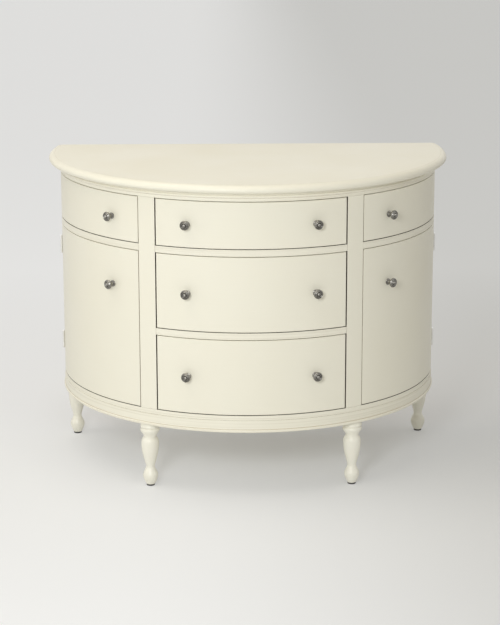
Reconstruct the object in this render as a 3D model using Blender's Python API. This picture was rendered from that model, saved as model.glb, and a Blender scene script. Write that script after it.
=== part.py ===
"""Demilune chest of drawers.

A half-round painted chest on four turned legs. Three drawers slide out of the middle, and at each
side a drawer that swings on a rod stands above a cupboard with a hinged door. Metres, +Z up.
"""

import math

import bmesh
import bpy

# Plan of the body: one round curve that runs on a little way behind its centre
body_radius = 0.520
back_reach = 0.100
facet_angle = math.radians(4.5)
smooth_limit = math.radians(30)

# Clearances and open lines
joint_gap = 0.0003
reveal = 0.002
centre_side_reveal = 0.003
rear_reveal = 0.0036
cut_overrun = 0.004
merge_distance = 0.00002
facet_slack_share = 0.01

# Heights of the carcase, from the floor up
leg_height = 0.178
base_height = 0.0324
bottom_board_thickness = 0.013
lower_opening = 0.2047
middle_opening = 0.2025
upper_opening = 0.1259
dust_board_thickness = 0.018
top_rail_height = 0.024
top_thickness = 0.0225

# Depths and widths of the boards behind the curve
front_thickness = 0.020
stile_depth = 0.050
stile_width = 0.0428
stile_outer_angle = math.radians(34.2)
partition_thickness = 0.018
post_width = 0.050
post_cheek = 0.0135
back_panel_thickness = 0.010

# Top board with its rounded edge
top_overhang = 0.031
nose_upper_run = 0.016
nose_upper_drop = 0.0135
nose_lower_run = 0.007
nose_steps = 4

# Beads of the top rail and of the base moulding
top_bead_bulge = 0.0035
top_bead_height = 0.0066
top_bead_lift = 0.0115
top_fillet_bulge = 0.0020
base_face_bulge = 0.0010
base_lip_bulge = 0.0040
base_lip_height = 0.0080
base_moulding_depth = 0.055
bead_steps = 5

# Turned legs: share of the leg's height, and radius
leg_radius = 0.0262
leg_profile_shares = (
    (0.020, 0.44),
    (0.045, 0.60),
    (0.095, 0.690),
    (0.135, 0.725),
    (0.170, 0.705),
    (0.220, 0.580),
    (0.250, 0.495),
    (0.278, 0.455),
    (0.310, 0.480),
    (0.375, 0.570),
    (0.470, 0.710),
    (0.570, 0.795),
    (0.660, 0.832),
    (0.705, 0.800),
    (0.735, 0.725),
    (0.765, 0.645),
    (0.790, 0.655),
    (0.820, 0.900),
    (0.850, 1.000),
    (0.880, 0.935),
    (0.893, 0.900),
    (0.925, 1.000),
    (0.950, 0.915),
    (0.998, 0.900),
)
leg_segments = 18
front_leg_inset = 0.0282
front_leg_angle = math.radians(33.3)
back_leg_inset = 0.0211
back_leg_from_back = 0.038

# Glides under the legs
glide_radius = 0.0110
glide_thickness = 0.0042
glide_rim = 0.0008
glide_segments = 18

# Drawer boxes
box_wall = 0.012
box_head_room = 0.022
box_back_room = 0.035
panel_thickness = 0.006
panel_lift = 0.010
groove_depth = 0.006

# Swinging side drawers
tray_wall = 0.010
tray_side_clearance = 0.006
tray_back_room = 0.018
tray_pin_room = 0.030
tray_front_angle = math.radians(36.6)
tray_end_setback = 0.010
tray_taper = 0.020
pin_radius = 0.003
pin_depth = 0.008
pin_from_face = 0.008
pin_from_end = 0.0095
pin_segments = 16

# Butt hinges of the doors
hinge_length = 0.050
hinge_inset = 0.0725
hinge_axis_out = 0.0045
hinge_leaf_width = 0.0205
hinge_leaf_thickness = 0.0012
knuckle_radius = 0.0035
hinge_pin_radius = 0.0018
knuckle_count = 3
knuckle_segments = 12
leaf_bite = 0.0006

# Knobs: share of the length, and share of the head's radius
knob_radius = 0.0119
knob_length = 0.0270
knob_profile_shares = (
    (0.00, 0.62),
    (0.07, 0.62),
    (0.12, 0.46),
    (0.24, 0.36),
    (0.42, 0.38),
    (0.52, 0.70),
    (0.62, 0.95),
    (0.72, 1.00),
    (0.82, 0.93),
    (0.88, 0.70),
    (0.87, 0.40),
    (0.97, 0.30),
    (1.00, 0.00),
)
knob_segments = 14
centre_knob_angle = math.radians(18.6)
side_knob_angle = math.radians(44.2)

# Sizes worked out from the ones above
base_top = leg_height + base_height
bottom_board_base = base_top + joint_gap
floor_height = bottom_board_base + bottom_board_thickness
lower_board_height = floor_height + lower_opening
middle_floor = lower_board_height + dust_board_thickness
upper_board_height = middle_floor + middle_opening
upper_floor = upper_board_height + dust_board_thickness
top_rail_base = upper_floor + upper_opening
carcase_top = top_rail_base + top_rail_height
top_board_base = carcase_top + joint_gap
top_radius = body_radius + top_overhang
front_inner_radius = body_radius - front_thickness
stile_inner_radius = body_radius - stile_depth
inner_curve = stile_inner_radius - joint_gap
stile_inner_x = body_radius * math.sin(stile_outer_angle) - stile_width
partition_outer_x = stile_inner_x + partition_thickness
post_inner_x = body_radius - post_width
post_face_y = rear_reveal / 2
side_end_y = -rear_reveal / 2
side_start_angle = stile_outer_angle + reveal / body_radius
back_panel_y = back_reach - back_panel_thickness
board_back_y = back_panel_y - joint_gap
half_back_panel = math.sqrt(body_radius ** 2 - back_reach ** 2) - post_cheek
half_rabbet = half_back_panel + joint_gap
pivot_x = body_radius - pin_from_face
pivot_y = side_end_y - pin_from_end
hinge_x = body_radius + hinge_axis_out
plan_centre_y = (top_radius - back_reach) / 2


def clear_scene():
    """Start from an empty file."""
    for old in list(bpy.data.objects):
        bpy.data.objects.remove(old, do_unlink=True)


def make_material(name, colour, roughness, metallic):
    """A Principled material with one colour."""
    material = bpy.data.materials.new(name)
    material.use_nodes = True
    shader = material.node_tree.nodes["Principled BSDF"]
    shader.inputs["Base Color"].default_value = (*colour, 1.0)
    shader.inputs["Roughness"].default_value = roughness
    shader.inputs["Metallic"].default_value = metallic
    return material


def painted_wood():
    """Cream paint on the outside of the chest."""
    return make_material("cream_paint", (0.80, 0.77, 0.66), 0.45, 0.0)


def bare_wood():
    """Pale wood inside the chest and in the drawers."""
    return make_material("bare_wood", (0.62, 0.48, 0.32), 0.60, 0.0)


def dark_metal():
    """Dark pewter of the knobs."""
    return make_material("dark_pewter", (0.16, 0.15, 0.13), 0.35, 1.0)


def pale_metal():
    """Plain steel of hinges and rods."""
    return make_material("steel", (0.72, 0.71, 0.68), 0.30, 1.0)


def glide_plastic():
    """Dark plastic of the glides."""
    return make_material("dark_plastic", (0.05, 0.045, 0.04), 0.60, 0.0)


def polar(radius, angle):
    """A point on the plan: angle zero is straight ahead, positive to the right."""
    return (radius * math.sin(angle), -radius * math.cos(angle))


def arc(radius, start, end):
    """Points along the plan's curve, on whole multiples of the facet angle, with both ends."""
    low, high = sorted((start, end))
    first = math.floor(low / facet_angle + facet_slack_share) + 1
    last = math.ceil(high / facet_angle - facet_slack_share)
    between = [facet_angle * turn for turn in range(first, last)]
    if end < start:
        between.reverse()
    return [polar(radius, angle) for angle in [start] + between + [end]]


def curve_y(radius, x):
    """How far forward a circle of the plan reaches at a distance from the middle."""
    return -math.sqrt(radius ** 2 - x ** 2)


def angle_at_x(radius, x):
    """The plan angle where a circle crosses a line that runs from front to back."""
    return math.asin(x / radius)


def angle_at_y(radius, y):
    """The plan angle where a circle crosses a line that runs from side to side."""
    return math.pi / 2 + math.asin(y / radius)


def mirrored(points, side):
    """The points of the right half, moved to the left half where side is -1."""
    return [(side * x, y) for x, y in points]


def offset_points(points, distance, closed):
    """Points beside a chain, to the right of the way that it runs."""
    normals = []
    for (x0, y0), (x1, y1) in zip(points, points[1:] + points[:1]):
        length = math.hypot(x1 - x0, y1 - y0)
        normals.append(((y1 - y0) / length, (x0 - x1) / length))
    if not closed:
        normals[-1] = normals[-2]
    moved = []
    for index, (x, y) in enumerate(points):
        ax, ay = normals[index - 1] if closed or index else normals[0]
        bx, by = normals[index]
        share = 1 + ax * bx + ay * by
        moved.append((x + distance * (ax + bx) / share, y + distance * (ay + by) / share))
    return moved


def prism(outline, height):
    """A closed outline in the plan, extruded straight up from zero."""
    mesh = bmesh.new()
    corners = [mesh.verts.new((x, y, 0.0)) for x, y in outline]
    face = mesh.faces.new(corners)
    extruded = bmesh.ops.extrude_face_region(mesh, geom=[face])
    lifted = [item for item in extruded["geom"] if isinstance(item, bmesh.types.BMVert)]
    bmesh.ops.translate(mesh, vec=(0.0, 0.0, height), verts=lifted)
    bmesh.ops.recalc_face_normals(mesh, faces=mesh.faces)
    return mesh


def turned(profile, segments, closed=False):
    """A profile of radius and height spun once round the Z axis."""
    mesh = bmesh.new()
    points = [mesh.verts.new((radius, 0.0, height)) for radius, height in profile]
    edges = [mesh.edges.new(pair) for pair in zip(points, points[1:])]
    if closed:
        edges.append(mesh.edges.new((points[-1], points[0])))
    bmesh.ops.spin(mesh, geom=points + edges, cent=(0, 0, 0), axis=(0, 0, 1),
                   angle=math.tau, steps=segments, use_merge=True)
    bmesh.ops.remove_doubles(mesh, verts=mesh.verts, dist=merge_distance)
    bmesh.ops.recalc_face_normals(mesh, faces=mesh.faces)
    return mesh


def cut_behind(mesh, y):
    """Remove everything behind a plane from side to side, and close the cut."""
    everything = mesh.verts[:] + mesh.edges[:] + mesh.faces[:]
    bmesh.ops.bisect_plane(mesh, geom=everything, dist=merge_distance,
                           plane_co=(0, y, 0), plane_no=(0, 1, 0), clear_outer=True)
    rims = [edge for edge in mesh.edges if edge.is_boundary]
    bmesh.ops.holes_fill(mesh, edges=rims, sides=0)
    bmesh.ops.recalc_face_normals(mesh, faces=mesh.faces)
    return mesh


def plan_ring(profile):
    """A moulding whose closed profile of radius and height follows the plan's curve to the back."""
    segments = round(math.tau / facet_angle)
    return cut_behind(turned(profile, segments, closed=True), back_reach)


def add_object(name, mesh, material, parent, location=(0.0, 0.0, 0.0), rotation=(0.0, 0.0, 0.0)):
    """An object under a parent, with its place given from the plan's centre on the floor."""
    data = bpy.data.meshes.new(name)
    mesh.to_mesh(data)
    mesh.free()
    if material:
        data.materials.append(material)
    data.shade_smooth()
    data.set_sharp_from_angle(angle=smooth_limit)
    item = bpy.data.objects.new(name, data)
    bpy.context.collection.objects.link(item)
    item.parent = parent
    own = parent["place"]
    item.location = [location[axis] - own[axis] for axis in range(3)]
    item.rotation_euler = rotation
    return item


def add_empty(name, parent, place):
    """An empty on a joint's axis, or the frame of the whole carcase."""
    empty = bpy.data.objects.new(name, None)
    bpy.context.collection.objects.link(empty)
    empty.empty_display_size = front_thickness
    if parent:
        empty.parent = parent
        empty.location = place
    empty["place"] = place
    return empty


def add_cutter(name, mesh, parent, location=(0.0, 0.0, 0.0)):
    """A shape that only takes wood away."""
    cutter = add_object(name, mesh, None, parent, location)
    cutter.hide_render = True
    cutter.display_type = "WIRE"
    return cutter


def combine(item, other, operation):
    """A Boolean modifier on an object."""
    modifier = item.modifiers.new(other.name, "BOOLEAN")
    modifier.solver = "EXACT"
    modifier.operation = operation
    modifier.object = other


def quarter(centre, run, rise, start, end, steps):
    """Points on a part of an ellipse, as radius and height."""
    angles = [start + (end - start) * step / steps for step in range(steps + 1)]
    return [(centre[0] + run * math.cos(a), centre[1] + rise * math.sin(a)) for a in angles]


def add_top_board(material, carcase):
    """Half-round top with a rounded edge."""
    nose_height = top_thickness - nose_upper_drop
    upper = quarter((top_radius - nose_upper_run, nose_height), nose_upper_run, nose_upper_drop,
                    math.pi / 2, 0.0, nose_steps)
    lower = quarter((top_radius - nose_lower_run, nose_height), nose_lower_run, nose_height,
                    0.0, -math.pi / 2, nose_steps)
    profile = [(0.0, top_thickness)] + upper + lower[1:] + [(0.0, 0.0)]
    mesh = turned(profile, round(math.tau / facet_angle))
    add_object("top_board", cut_behind(mesh, back_reach), material, carcase,
               (0.0, 0.0, top_board_base))


def add_top_rail(material, carcase, cutters):
    """Rail under the top, with its bead."""
    bead_middle = top_bead_lift + top_bead_height / 2
    bead = quarter((body_radius, bead_middle), top_bead_bulge, top_bead_height / 2,
                   -math.pi / 2, math.pi / 2, bead_steps)
    profile = [(stile_inner_radius, 0.0), (body_radius, 0.0)] + bead[:-1]
    profile.append((body_radius + top_fillet_bulge, top_bead_lift + top_bead_height))
    profile.append((body_radius + top_fillet_bulge, top_rail_height))
    profile.append((stile_inner_radius, top_rail_height))
    rail = add_object("top_rail", plan_ring(profile), material, carcase, (0.0, 0.0, top_rail_base))
    for cutter in cutters:
        combine(rail, cutter, "DIFFERENCE")


def add_base_moulding(material, carcase, cutter):
    """Curved base with a rounded lip along its lower edge."""
    face = body_radius + base_face_bulge
    lip = quarter((face, base_lip_height / 2), base_lip_bulge - base_face_bulge,
                  base_lip_height / 2, -math.pi / 2, math.pi / 2, bead_steps)
    inner = body_radius - base_moulding_depth
    profile = [(inner, 0.0)] + lip + [(face, base_height), (inner, base_height)]
    base = add_object("base_moulding", plan_ring(profile), material, carcase,
                      (0.0, 0.0, leg_height))
    combine(base, cutter, "DIFFERENCE")


def add_bottom_board(material, carcase):
    """Full board under the drawers and cupboards, notched for the back panel."""
    end = angle_at_y(body_radius, back_reach)
    outline = arc(body_radius, -end, end)
    outline += [(half_rabbet, back_reach), (half_rabbet, board_back_y)]
    outline += [(-half_rabbet, board_back_y), (-half_rabbet, back_reach)]
    add_object("bottom_board", prism(outline, bottom_board_thickness), material, carcase,
               (0.0, 0.0, bottom_board_base))


def add_back_panel(material, carcase):
    """Flat panel that closes the back."""
    outline = [(-half_back_panel, back_panel_y), (half_back_panel, back_panel_y),
               (half_back_panel, back_reach), (-half_back_panel, back_reach)]
    add_object("back_panel", prism(outline, carcase_top - leg_height), material, carcase,
               (0.0, 0.0, leg_height))


def add_partition(name, side, material, carcase):
    """Board from front to back between the middle drawers and a cupboard."""
    outline = [(stile_inner_x, board_back_y), (stile_inner_x, curve_y(inner_curve, stile_inner_x)),
               (partition_outer_x, curve_y(inner_curve, partition_outer_x)),
               (partition_outer_x, board_back_y)]
    base = floor_height + joint_gap
    add_object(name, prism(mirrored(outline, side), carcase_top - base), material, carcase,
               (0.0, 0.0, base))


def add_stile(name, side, material, carcase):
    """Upright between the middle drawers and a cupboard, with the plan's curve on its face."""
    outline = arc(body_radius, angle_at_x(body_radius, stile_inner_x), stile_outer_angle)
    outline += arc(stile_inner_radius, stile_outer_angle,
                   angle_at_x(stile_inner_radius, stile_inner_x))
    base = floor_height + joint_gap
    height = top_rail_base - joint_gap - base
    add_object(name, prism(mirrored(outline, side), height), material, carcase, (0.0, 0.0, base))


def add_back_post(name, side, material, carcase):
    """Upright at a back corner, rabbeted for the back panel."""
    outline = arc(body_radius, angle_at_y(body_radius, post_face_y),
                  angle_at_y(body_radius, back_reach))
    outline += [(half_rabbet, back_reach), (half_rabbet, board_back_y),
                (post_inner_x, board_back_y), (post_inner_x, post_face_y)]
    base = floor_height + joint_gap
    height = top_rail_base - joint_gap - base
    add_object(name, prism(mirrored(outline, side), height), material, carcase, (0.0, 0.0, base))


def add_dust_board(name, height, material, carcase):
    """Board between two middle drawers, whose curved edge shows as a rail."""
    half = stile_inner_x - joint_gap
    turn = angle_at_x(body_radius, half)
    outline = arc(body_radius, -turn, turn) + [(half, board_back_y), (-half, board_back_y)]
    add_object(name, prism(outline, dust_board_thickness), material, carcase, (0.0, 0.0, height))


def add_cupboard_top(name, side, material, carcase, cutter):
    """Board over a cupboard, which carries the swinging drawer above it."""
    start = stile_outer_angle + joint_gap / stile_inner_radius
    inner_x = partition_outer_x + joint_gap
    outline = arc(body_radius, start, angle_at_y(body_radius, post_face_y - joint_gap))
    outline += [(post_inner_x - joint_gap, post_face_y - joint_gap),
                (post_inner_x - joint_gap, board_back_y), (inner_x, board_back_y),
                (inner_x, -inner_x / math.tan(start))]
    board = add_object(name, prism(mirrored(outline, side), dust_board_thickness), material,
                       carcase, (0.0, 0.0, upper_board_height))
    combine(board, cutter, "DIFFERENCE")


def add_leg(name, x, y, material, carcase):
    """Turned leg with a collar, a vase and a ball foot."""
    base = glide_thickness + joint_gap
    height = leg_height - joint_gap - base
    profile = [(leg_radius * radius, height * share) for share, radius in leg_profile_shares]
    profile = [(0.0, 0.0), (profile[0][0], 0.0)] + profile[1:-1] + [(profile[-1][0], height)]
    profile.append((0.0, height))
    add_object(name + "_leg", turned(profile, leg_segments), material, carcase, (x, y, base))


def add_glide(name, x, y, material, carcase):
    """Round glide under a leg."""
    profile = [(0.0, 0.0), (glide_radius - glide_rim, 0.0), (glide_radius, glide_rim),
               (glide_radius, glide_thickness), (0.0, glide_thickness)]
    add_object(name + "_glide", turned(profile, glide_segments), material, carcase, (x, y, 0.0))


def add_knob(name, angle, height, material, parent):
    """Turned knob that stands square to the curved front."""
    profile = [(knob_radius * radius, knob_length * share) for share, radius in knob_profile_shares]
    x, y = polar(body_radius + joint_gap, angle)
    add_object(name, turned([(0.0, 0.0)] + profile, knob_segments), material, parent,
               (x, y, height), (math.pi / 2, 0.0, angle))


def add_front_space(name, start, end, base, height, parent):
    """The room that a curved front takes, as a cutter for what stands behind it."""
    outer = body_radius + cut_overrun
    inner = front_inner_radius - joint_gap
    outline = arc(outer, start, end) + arc(inner, end, start)
    mesh = prism(outline, height + 2 * cut_overrun)
    return add_cutter(name, mesh, parent, (0.0, 0.0, base - cut_overrun))


def add_panel(name, outline, base, board_material, parent, grooved):
    """A thin bottom panel, with the groove that it sits in cut into its neighbours."""
    add_object(name, prism(outline, panel_thickness), board_material, parent, (0.0, 0.0, base))
    clockwise = sum(x0 * y1 - x1 * y0 for (x0, y0), (x1, y1)
                    in zip(outline, outline[1:] + outline[:1])) < 0
    wide = offset_points(outline, -joint_gap if clockwise else joint_gap, True)
    space = add_cutter(name + "_groove", prism(wide, panel_thickness + 2 * joint_gap), parent,
                       (0.0, 0.0, base - joint_gap))
    for item in grooved:
        combine(item, space, "DIFFERENCE")


def add_centre_drawer(name, floor, opening, paint, wood, metal, carcase):
    """One of the three drawers in the middle, on a body that slides straight ahead."""
    base = floor + reveal
    height = opening - 2 * reveal
    slide = add_empty(name + "_slide", carcase, (0.0, -body_radius, floor + opening / 2))
    half = stile_inner_x - centre_side_reveal
    outer_turn = angle_at_x(body_radius, half)
    inner_turn = angle_at_x(front_inner_radius, half)
    outline = arc(body_radius, -outer_turn, outer_turn)
    outline += arc(front_inner_radius, inner_turn, -inner_turn)
    front = add_object(name + "_front", prism(outline, height), paint, slide, (0.0, 0.0, base))

    inner_half = half - box_wall
    back = board_back_y - box_back_room
    ahead = curve_y(body_radius, half)
    outline = [(-half, ahead), (-half, back), (half, back), (half, ahead),
               (inner_half, ahead), (inner_half, back - box_wall),
               (-inner_half, back - box_wall), (-inner_half, ahead)]
    box_base = floor + joint_gap
    box_height = opening - box_head_room
    box = add_object(name + "_box", prism(outline, box_height), wood, slide, (0.0, 0.0, box_base))
    space = add_front_space(name + "_front_space", -stile_outer_angle, stile_outer_angle,
                            box_base, box_height, slide)
    combine(box, space, "DIFFERENCE")

    panel_half = inner_half + groove_depth
    panel_radius = front_inner_radius + groove_depth
    turn = angle_at_x(panel_radius, panel_half)
    panel_back = back - box_wall + groove_depth
    outline = arc(panel_radius, -turn, turn) + [(panel_half, panel_back), (-panel_half, panel_back)]
    add_panel(name + "_bottom", outline, box_base + panel_lift, wood, slide, (front, box))

    for knob_side, word in ((-1, "left"), (1, "right")):
        add_knob(f"{name}_{word}_knob", knob_side * centre_knob_angle, floor + opening / 2, metal,
                 slide)


def side_front_outline():
    """Plan of a curved front from the stile to the hinge side, for a door or a side drawer."""
    outline = arc(body_radius, side_start_angle, angle_at_y(body_radius, side_end_y))
    outline += arc(front_inner_radius, angle_at_y(front_inner_radius, side_end_y), side_start_angle)
    return outline


def tray_chain():
    """Middle line of the tray's walls, from the stile round the back to the rod."""
    inner_x = partition_outer_x + tray_side_clearance + tray_wall / 2
    back_y = board_back_y - tray_back_room
    post_x = post_inner_x - tray_pin_room
    end_y = side_end_y - tray_end_setback - tray_wall / 2
    corner = (inner_x, -tray_taper)
    return [polar(body_radius, tray_front_angle), corner, (inner_x + tray_taper, back_y),
            (post_x, back_y), (post_x + tray_taper, end_y), (body_radius, end_y)]


def add_side_drawer(name, side, paint, wood, metal, carcase, pin_space):
    """A drawer that swings out on an upright rod at its back end."""
    floor = upper_floor
    base = floor + reveal
    height = upper_opening - 2 * reveal
    pivot = add_empty(name + "_pivot", carcase, (side * pivot_x, pivot_y, base + height / 2))
    outline = mirrored(side_front_outline(), side)
    front = add_object(name + "_front", prism(outline, height), paint, pivot, (0.0, 0.0, base))

    chain = tray_chain()
    half_wall = tray_wall / 2
    outline = offset_points(chain, half_wall, False)
    outline += reversed(offset_points(chain, -half_wall, False))
    tray_base = floor + joint_gap
    tray_height = upper_opening - box_head_room
    tray = add_object(name + "_tray", prism(mirrored(outline, side), tray_height), wood, pivot,
                      (0.0, 0.0, tray_base))
    turns = sorted((side * stile_outer_angle, side * (math.pi / 2 + facet_angle)))
    space = add_front_space(name + "_front_space", turns[0], turns[1], tray_base, tray_height,
                            pivot)
    combine(tray, space, "DIFFERENCE")

    panel_radius = front_inner_radius + groove_depth
    first = crossing(chain[1], chain[0], panel_radius)
    last = crossing(chain[-2], chain[-1], panel_radius)
    outline = chain[1:-1] + arc(panel_radius, last, first)
    add_panel(name + "_bottom", mirrored(outline, side), tray_base + panel_lift, wood, pivot,
              (front, tray))
    combine(front, pin_space, "DIFFERENCE")
    add_knob(name + "_knob", side * side_knob_angle, floor + upper_opening / 2, metal, pivot)


def crossing(inside, outside, radius):
    """The plan angle where a line that runs outward meets a circle."""
    dx = outside[0] - inside[0]
    dy = outside[1] - inside[1]
    a = dx * dx + dy * dy
    b = inside[0] * dx + inside[1] * dy
    c = inside[0] ** 2 + inside[1] ** 2 - radius ** 2
    share = (-b + math.sqrt(b * b - a * c)) / a
    return math.atan2(inside[0] + share * dx, -inside[1] - share * dy)


def add_pin_space(name, side, carcase):
    """The bore for a side drawer's rod, through the front and into the boards above and below."""
    base = upper_floor - pin_depth - joint_gap
    height = upper_opening + 2 * pin_depth + 2 * joint_gap
    radius = pin_radius + joint_gap
    profile = [(0.0, 0.0), (radius, 0.0), (radius, height), (0.0, height)]
    return add_cutter(name, turned(profile, pin_segments), carcase,
                      (side * pivot_x, pivot_y, base))


def add_pin(name, side, metal, carcase):
    """Steel rod that a side drawer swings on."""
    height = upper_opening + 2 * pin_depth
    profile = [(0.0, 0.0), (pin_radius, 0.0), (pin_radius, height), (0.0, height)]
    add_object(name, turned(profile, pin_segments), metal, carcase,
               (side * pivot_x, pivot_y, upper_floor - pin_depth))


def add_door(name, side, paint, metal, carcase):
    """Curved cupboard door on two butt hinges at its back edge."""
    base = floor_height + reveal
    door_opening = upper_board_height - floor_height
    height = door_opening - 2 * reveal
    hinge = add_empty(name + "_hinge", carcase, (side * hinge_x, 0.0, base + height / 2))
    add_object(name, prism(mirrored(side_front_outline(), side), height), paint, hinge,
               (0.0, 0.0, base))
    knob_height = middle_floor + middle_opening / 2
    add_knob(name + "_knob", side * side_knob_angle, knob_height, metal, hinge)
    for word, middle in (("upper", base + height - hinge_inset), ("lower", base + hinge_inset)):
        low = middle - hinge_length / 2
        add_frame_leaf(f"{name}_{word}_frame_leaf", side, low, metal, carcase)
        add_door_leaf(f"{name}_{word}_door_leaf", side, low, metal, hinge)


def leaf_plate(outline, y, side):
    """A flat hinge leaf from its outline of reach toward the pin and height."""
    mesh = prism([(side * x, height) for x, height in outline], hinge_leaf_thickness)
    for vert in mesh.verts:
        x, height, depth = vert.co
        vert.co = (x, y + depth, height)
    bmesh.ops.recalc_face_normals(mesh, faces=mesh.faces)
    return mesh


def add_frame_leaf(name, side, low, metal, carcase):
    """Hinge leaf on the post, with the end knuckles and the pin."""
    knuckle = hinge_length / knuckle_count
    near = hinge_x - knuckle_radius - joint_gap
    far = near - hinge_leaf_width
    first, last = knuckle, hinge_length - knuckle
    outline = [(far, 0.0), (hinge_x, 0.0), (hinge_x, first - joint_gap), (near, first - joint_gap),
               (near, last + joint_gap), (hinge_x, last + joint_gap), (hinge_x, hinge_length),
               (far, hinge_length)]
    mesh = leaf_plate(outline, joint_gap, side)
    leaf = add_object(name, mesh, metal, carcase, (0.0, 0.0, low))
    profile = [(0.0, 0.0), (knuckle_radius, 0.0), (knuckle_radius, first - joint_gap),
               (hinge_pin_radius, first - joint_gap), (hinge_pin_radius, last + joint_gap),
               (knuckle_radius, last + joint_gap), (knuckle_radius, hinge_length),
               (0.0, hinge_length)]
    barrel = add_cutter(name + "_barrel", turned(profile, knuckle_segments), carcase,
                        (side * hinge_x, 0.0, low))
    combine(leaf, barrel, "UNION")


def add_door_leaf(name, side, low, metal, hinge):
    """Hinge leaf on the door, with the middle knuckle round the pin."""
    knuckle = hinge_length / knuckle_count
    bore = hinge_pin_radius + joint_gap
    near = hinge_x - knuckle_radius - joint_gap
    far = near - hinge_leaf_width
    reach = hinge_x - bore - leaf_bite
    first, last = knuckle, hinge_length - knuckle
    outline = [(far, 0.0), (near, 0.0), (near, first), (reach, first), (reach, last),
               (near, last), (near, hinge_length), (far, hinge_length)]
    mesh = leaf_plate(outline, -joint_gap - hinge_leaf_thickness, side)
    leaf = add_object(name, mesh, metal, hinge, (0.0, 0.0, low))
    profile = [(bore, 0.0), (knuckle_radius, 0.0), (knuckle_radius, knuckle), (bore, knuckle)]
    barrel = add_cutter(name + "_barrel", turned(profile, knuckle_segments, closed=True), hinge,
                        (side * hinge_x, 0.0, low + first))
    combine(leaf, barrel, "UNION")


def add_back_panel_space(carcase):
    """The rabbet that the back panel sits in, as a cutter."""
    outline = [(-half_rabbet, board_back_y), (half_rabbet, board_back_y),
               (half_rabbet, back_reach + cut_overrun), (-half_rabbet, back_reach + cut_overrun)]
    return add_cutter("back_panel_space", prism(outline, top_board_base - leg_height + cut_overrun),
                      carcase, (0.0, 0.0, leg_height - cut_overrun))


def main():
    """Build the whole chest."""
    clear_scene()
    paint, wood, metal = painted_wood(), bare_wood(), dark_metal()
    steel, plastic = pale_metal(), glide_plastic()
    carcase = add_empty("carcase", None, (0.0, 0.0, 0.0))
    carcase.location = (0.0, plan_centre_y, 0.0)

    sides = ((-1, "left"), (1, "right"))
    front_leg = polar(body_radius - front_leg_inset, front_leg_angle)
    back_leg_curve = body_radius - back_leg_inset
    back_leg = polar(back_leg_curve, angle_at_y(back_leg_curve, back_reach - back_leg_from_back))
    rabbet = add_back_panel_space(carcase)
    bores = [add_pin_space(f"{word}_pin_space", side, carcase) for side, word in sides]

    add_top_board(paint, carcase)
    add_top_rail(paint, carcase, [rabbet] + bores)
    add_base_moulding(paint, carcase, rabbet)
    add_bottom_board(paint, carcase)
    add_back_panel(wood, carcase)
    add_dust_board("lower_dust_board", lower_board_height, paint, carcase)
    add_dust_board("upper_dust_board", upper_board_height, paint, carcase)

    for (side, word), bore in zip(sides, bores):
        add_partition(f"{word}_partition", side, wood, carcase)
        add_stile(f"{word}_stile", side, paint, carcase)
        add_back_post(f"{word}_back_post", side, paint, carcase)
        add_cupboard_top(f"{word}_cupboard_top", side, paint, carcase, bore)
        add_side_drawer(f"{word}_side_drawer", side, paint, wood, metal, carcase, bore)
        add_pin(f"{word}_side_drawer_rod", side, steel, carcase)
        add_door(f"{word}_door", side, paint, metal, carcase)
        for row, (x, y) in (("front", front_leg), ("back", back_leg)):
            add_leg(f"{row}_{word}", side * x, y, paint, carcase)
            add_glide(f"{row}_{word}", side * x, y, plastic, carcase)

    for name, floor, opening in (("lower_drawer", floor_height, lower_opening),
                                 ("middle_drawer", middle_floor, middle_opening),
                                 ("upper_drawer", upper_floor, upper_opening)):
        add_centre_drawer(name, floor, opening, paint, wood, metal, carcase)


main()
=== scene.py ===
"""Finished look of a demilune chest of drawers.

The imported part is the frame. Each piece that shows is made again over it with rounded edges and
its own paint, wood or metal, and rides on the body that carries it. Metres, +Z up, front to -Y.
"""

import math

import bmesh
import bpy
from bpy.props import FloatProperty, FloatVectorProperty, IntProperty, PointerProperty
from mathutils import Matrix, Vector


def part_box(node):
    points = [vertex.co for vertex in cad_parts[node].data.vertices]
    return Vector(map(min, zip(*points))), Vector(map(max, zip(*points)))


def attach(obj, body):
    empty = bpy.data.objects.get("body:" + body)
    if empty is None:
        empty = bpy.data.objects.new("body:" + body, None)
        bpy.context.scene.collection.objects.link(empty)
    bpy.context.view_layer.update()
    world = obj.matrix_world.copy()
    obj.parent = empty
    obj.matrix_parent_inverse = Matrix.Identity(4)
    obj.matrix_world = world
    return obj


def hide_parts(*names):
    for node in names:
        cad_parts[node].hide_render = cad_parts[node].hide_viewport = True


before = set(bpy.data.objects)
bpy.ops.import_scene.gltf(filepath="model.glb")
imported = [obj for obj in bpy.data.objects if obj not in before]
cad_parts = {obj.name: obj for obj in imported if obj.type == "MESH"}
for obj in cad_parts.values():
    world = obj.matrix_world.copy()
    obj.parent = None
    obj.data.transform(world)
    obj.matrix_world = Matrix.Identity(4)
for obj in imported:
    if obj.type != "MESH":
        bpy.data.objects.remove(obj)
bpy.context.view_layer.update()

bl_info = {
    "name": "Demilune Chest of Drawers",
    "version": (1, 0, 0),
    "blender": (4, 5, 0),
    "location": "View3D > Sidebar > Chest",
    "description": "Builds a half-round painted chest with curved drawers, doors and turned legs",
    "category": "Add Mesh",
}

# Places that the frame gives, and how far the top's rim stays inside them
RIM_SPARE = 0.000002
TOP_LOW, TOP_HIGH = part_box("top_board")
TOP_RADIUS = min(TOP_HIGH.x, -TOP_LOW.x) - RIM_SPARE
CENTRE_Y = TOP_LOW.y + TOP_RADIUS
BACK_Y = TOP_HIGH.y
BODY_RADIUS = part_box("bottom_board")[1].x
PANEL_LOW, PANEL_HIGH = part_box("back_panel")

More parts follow.
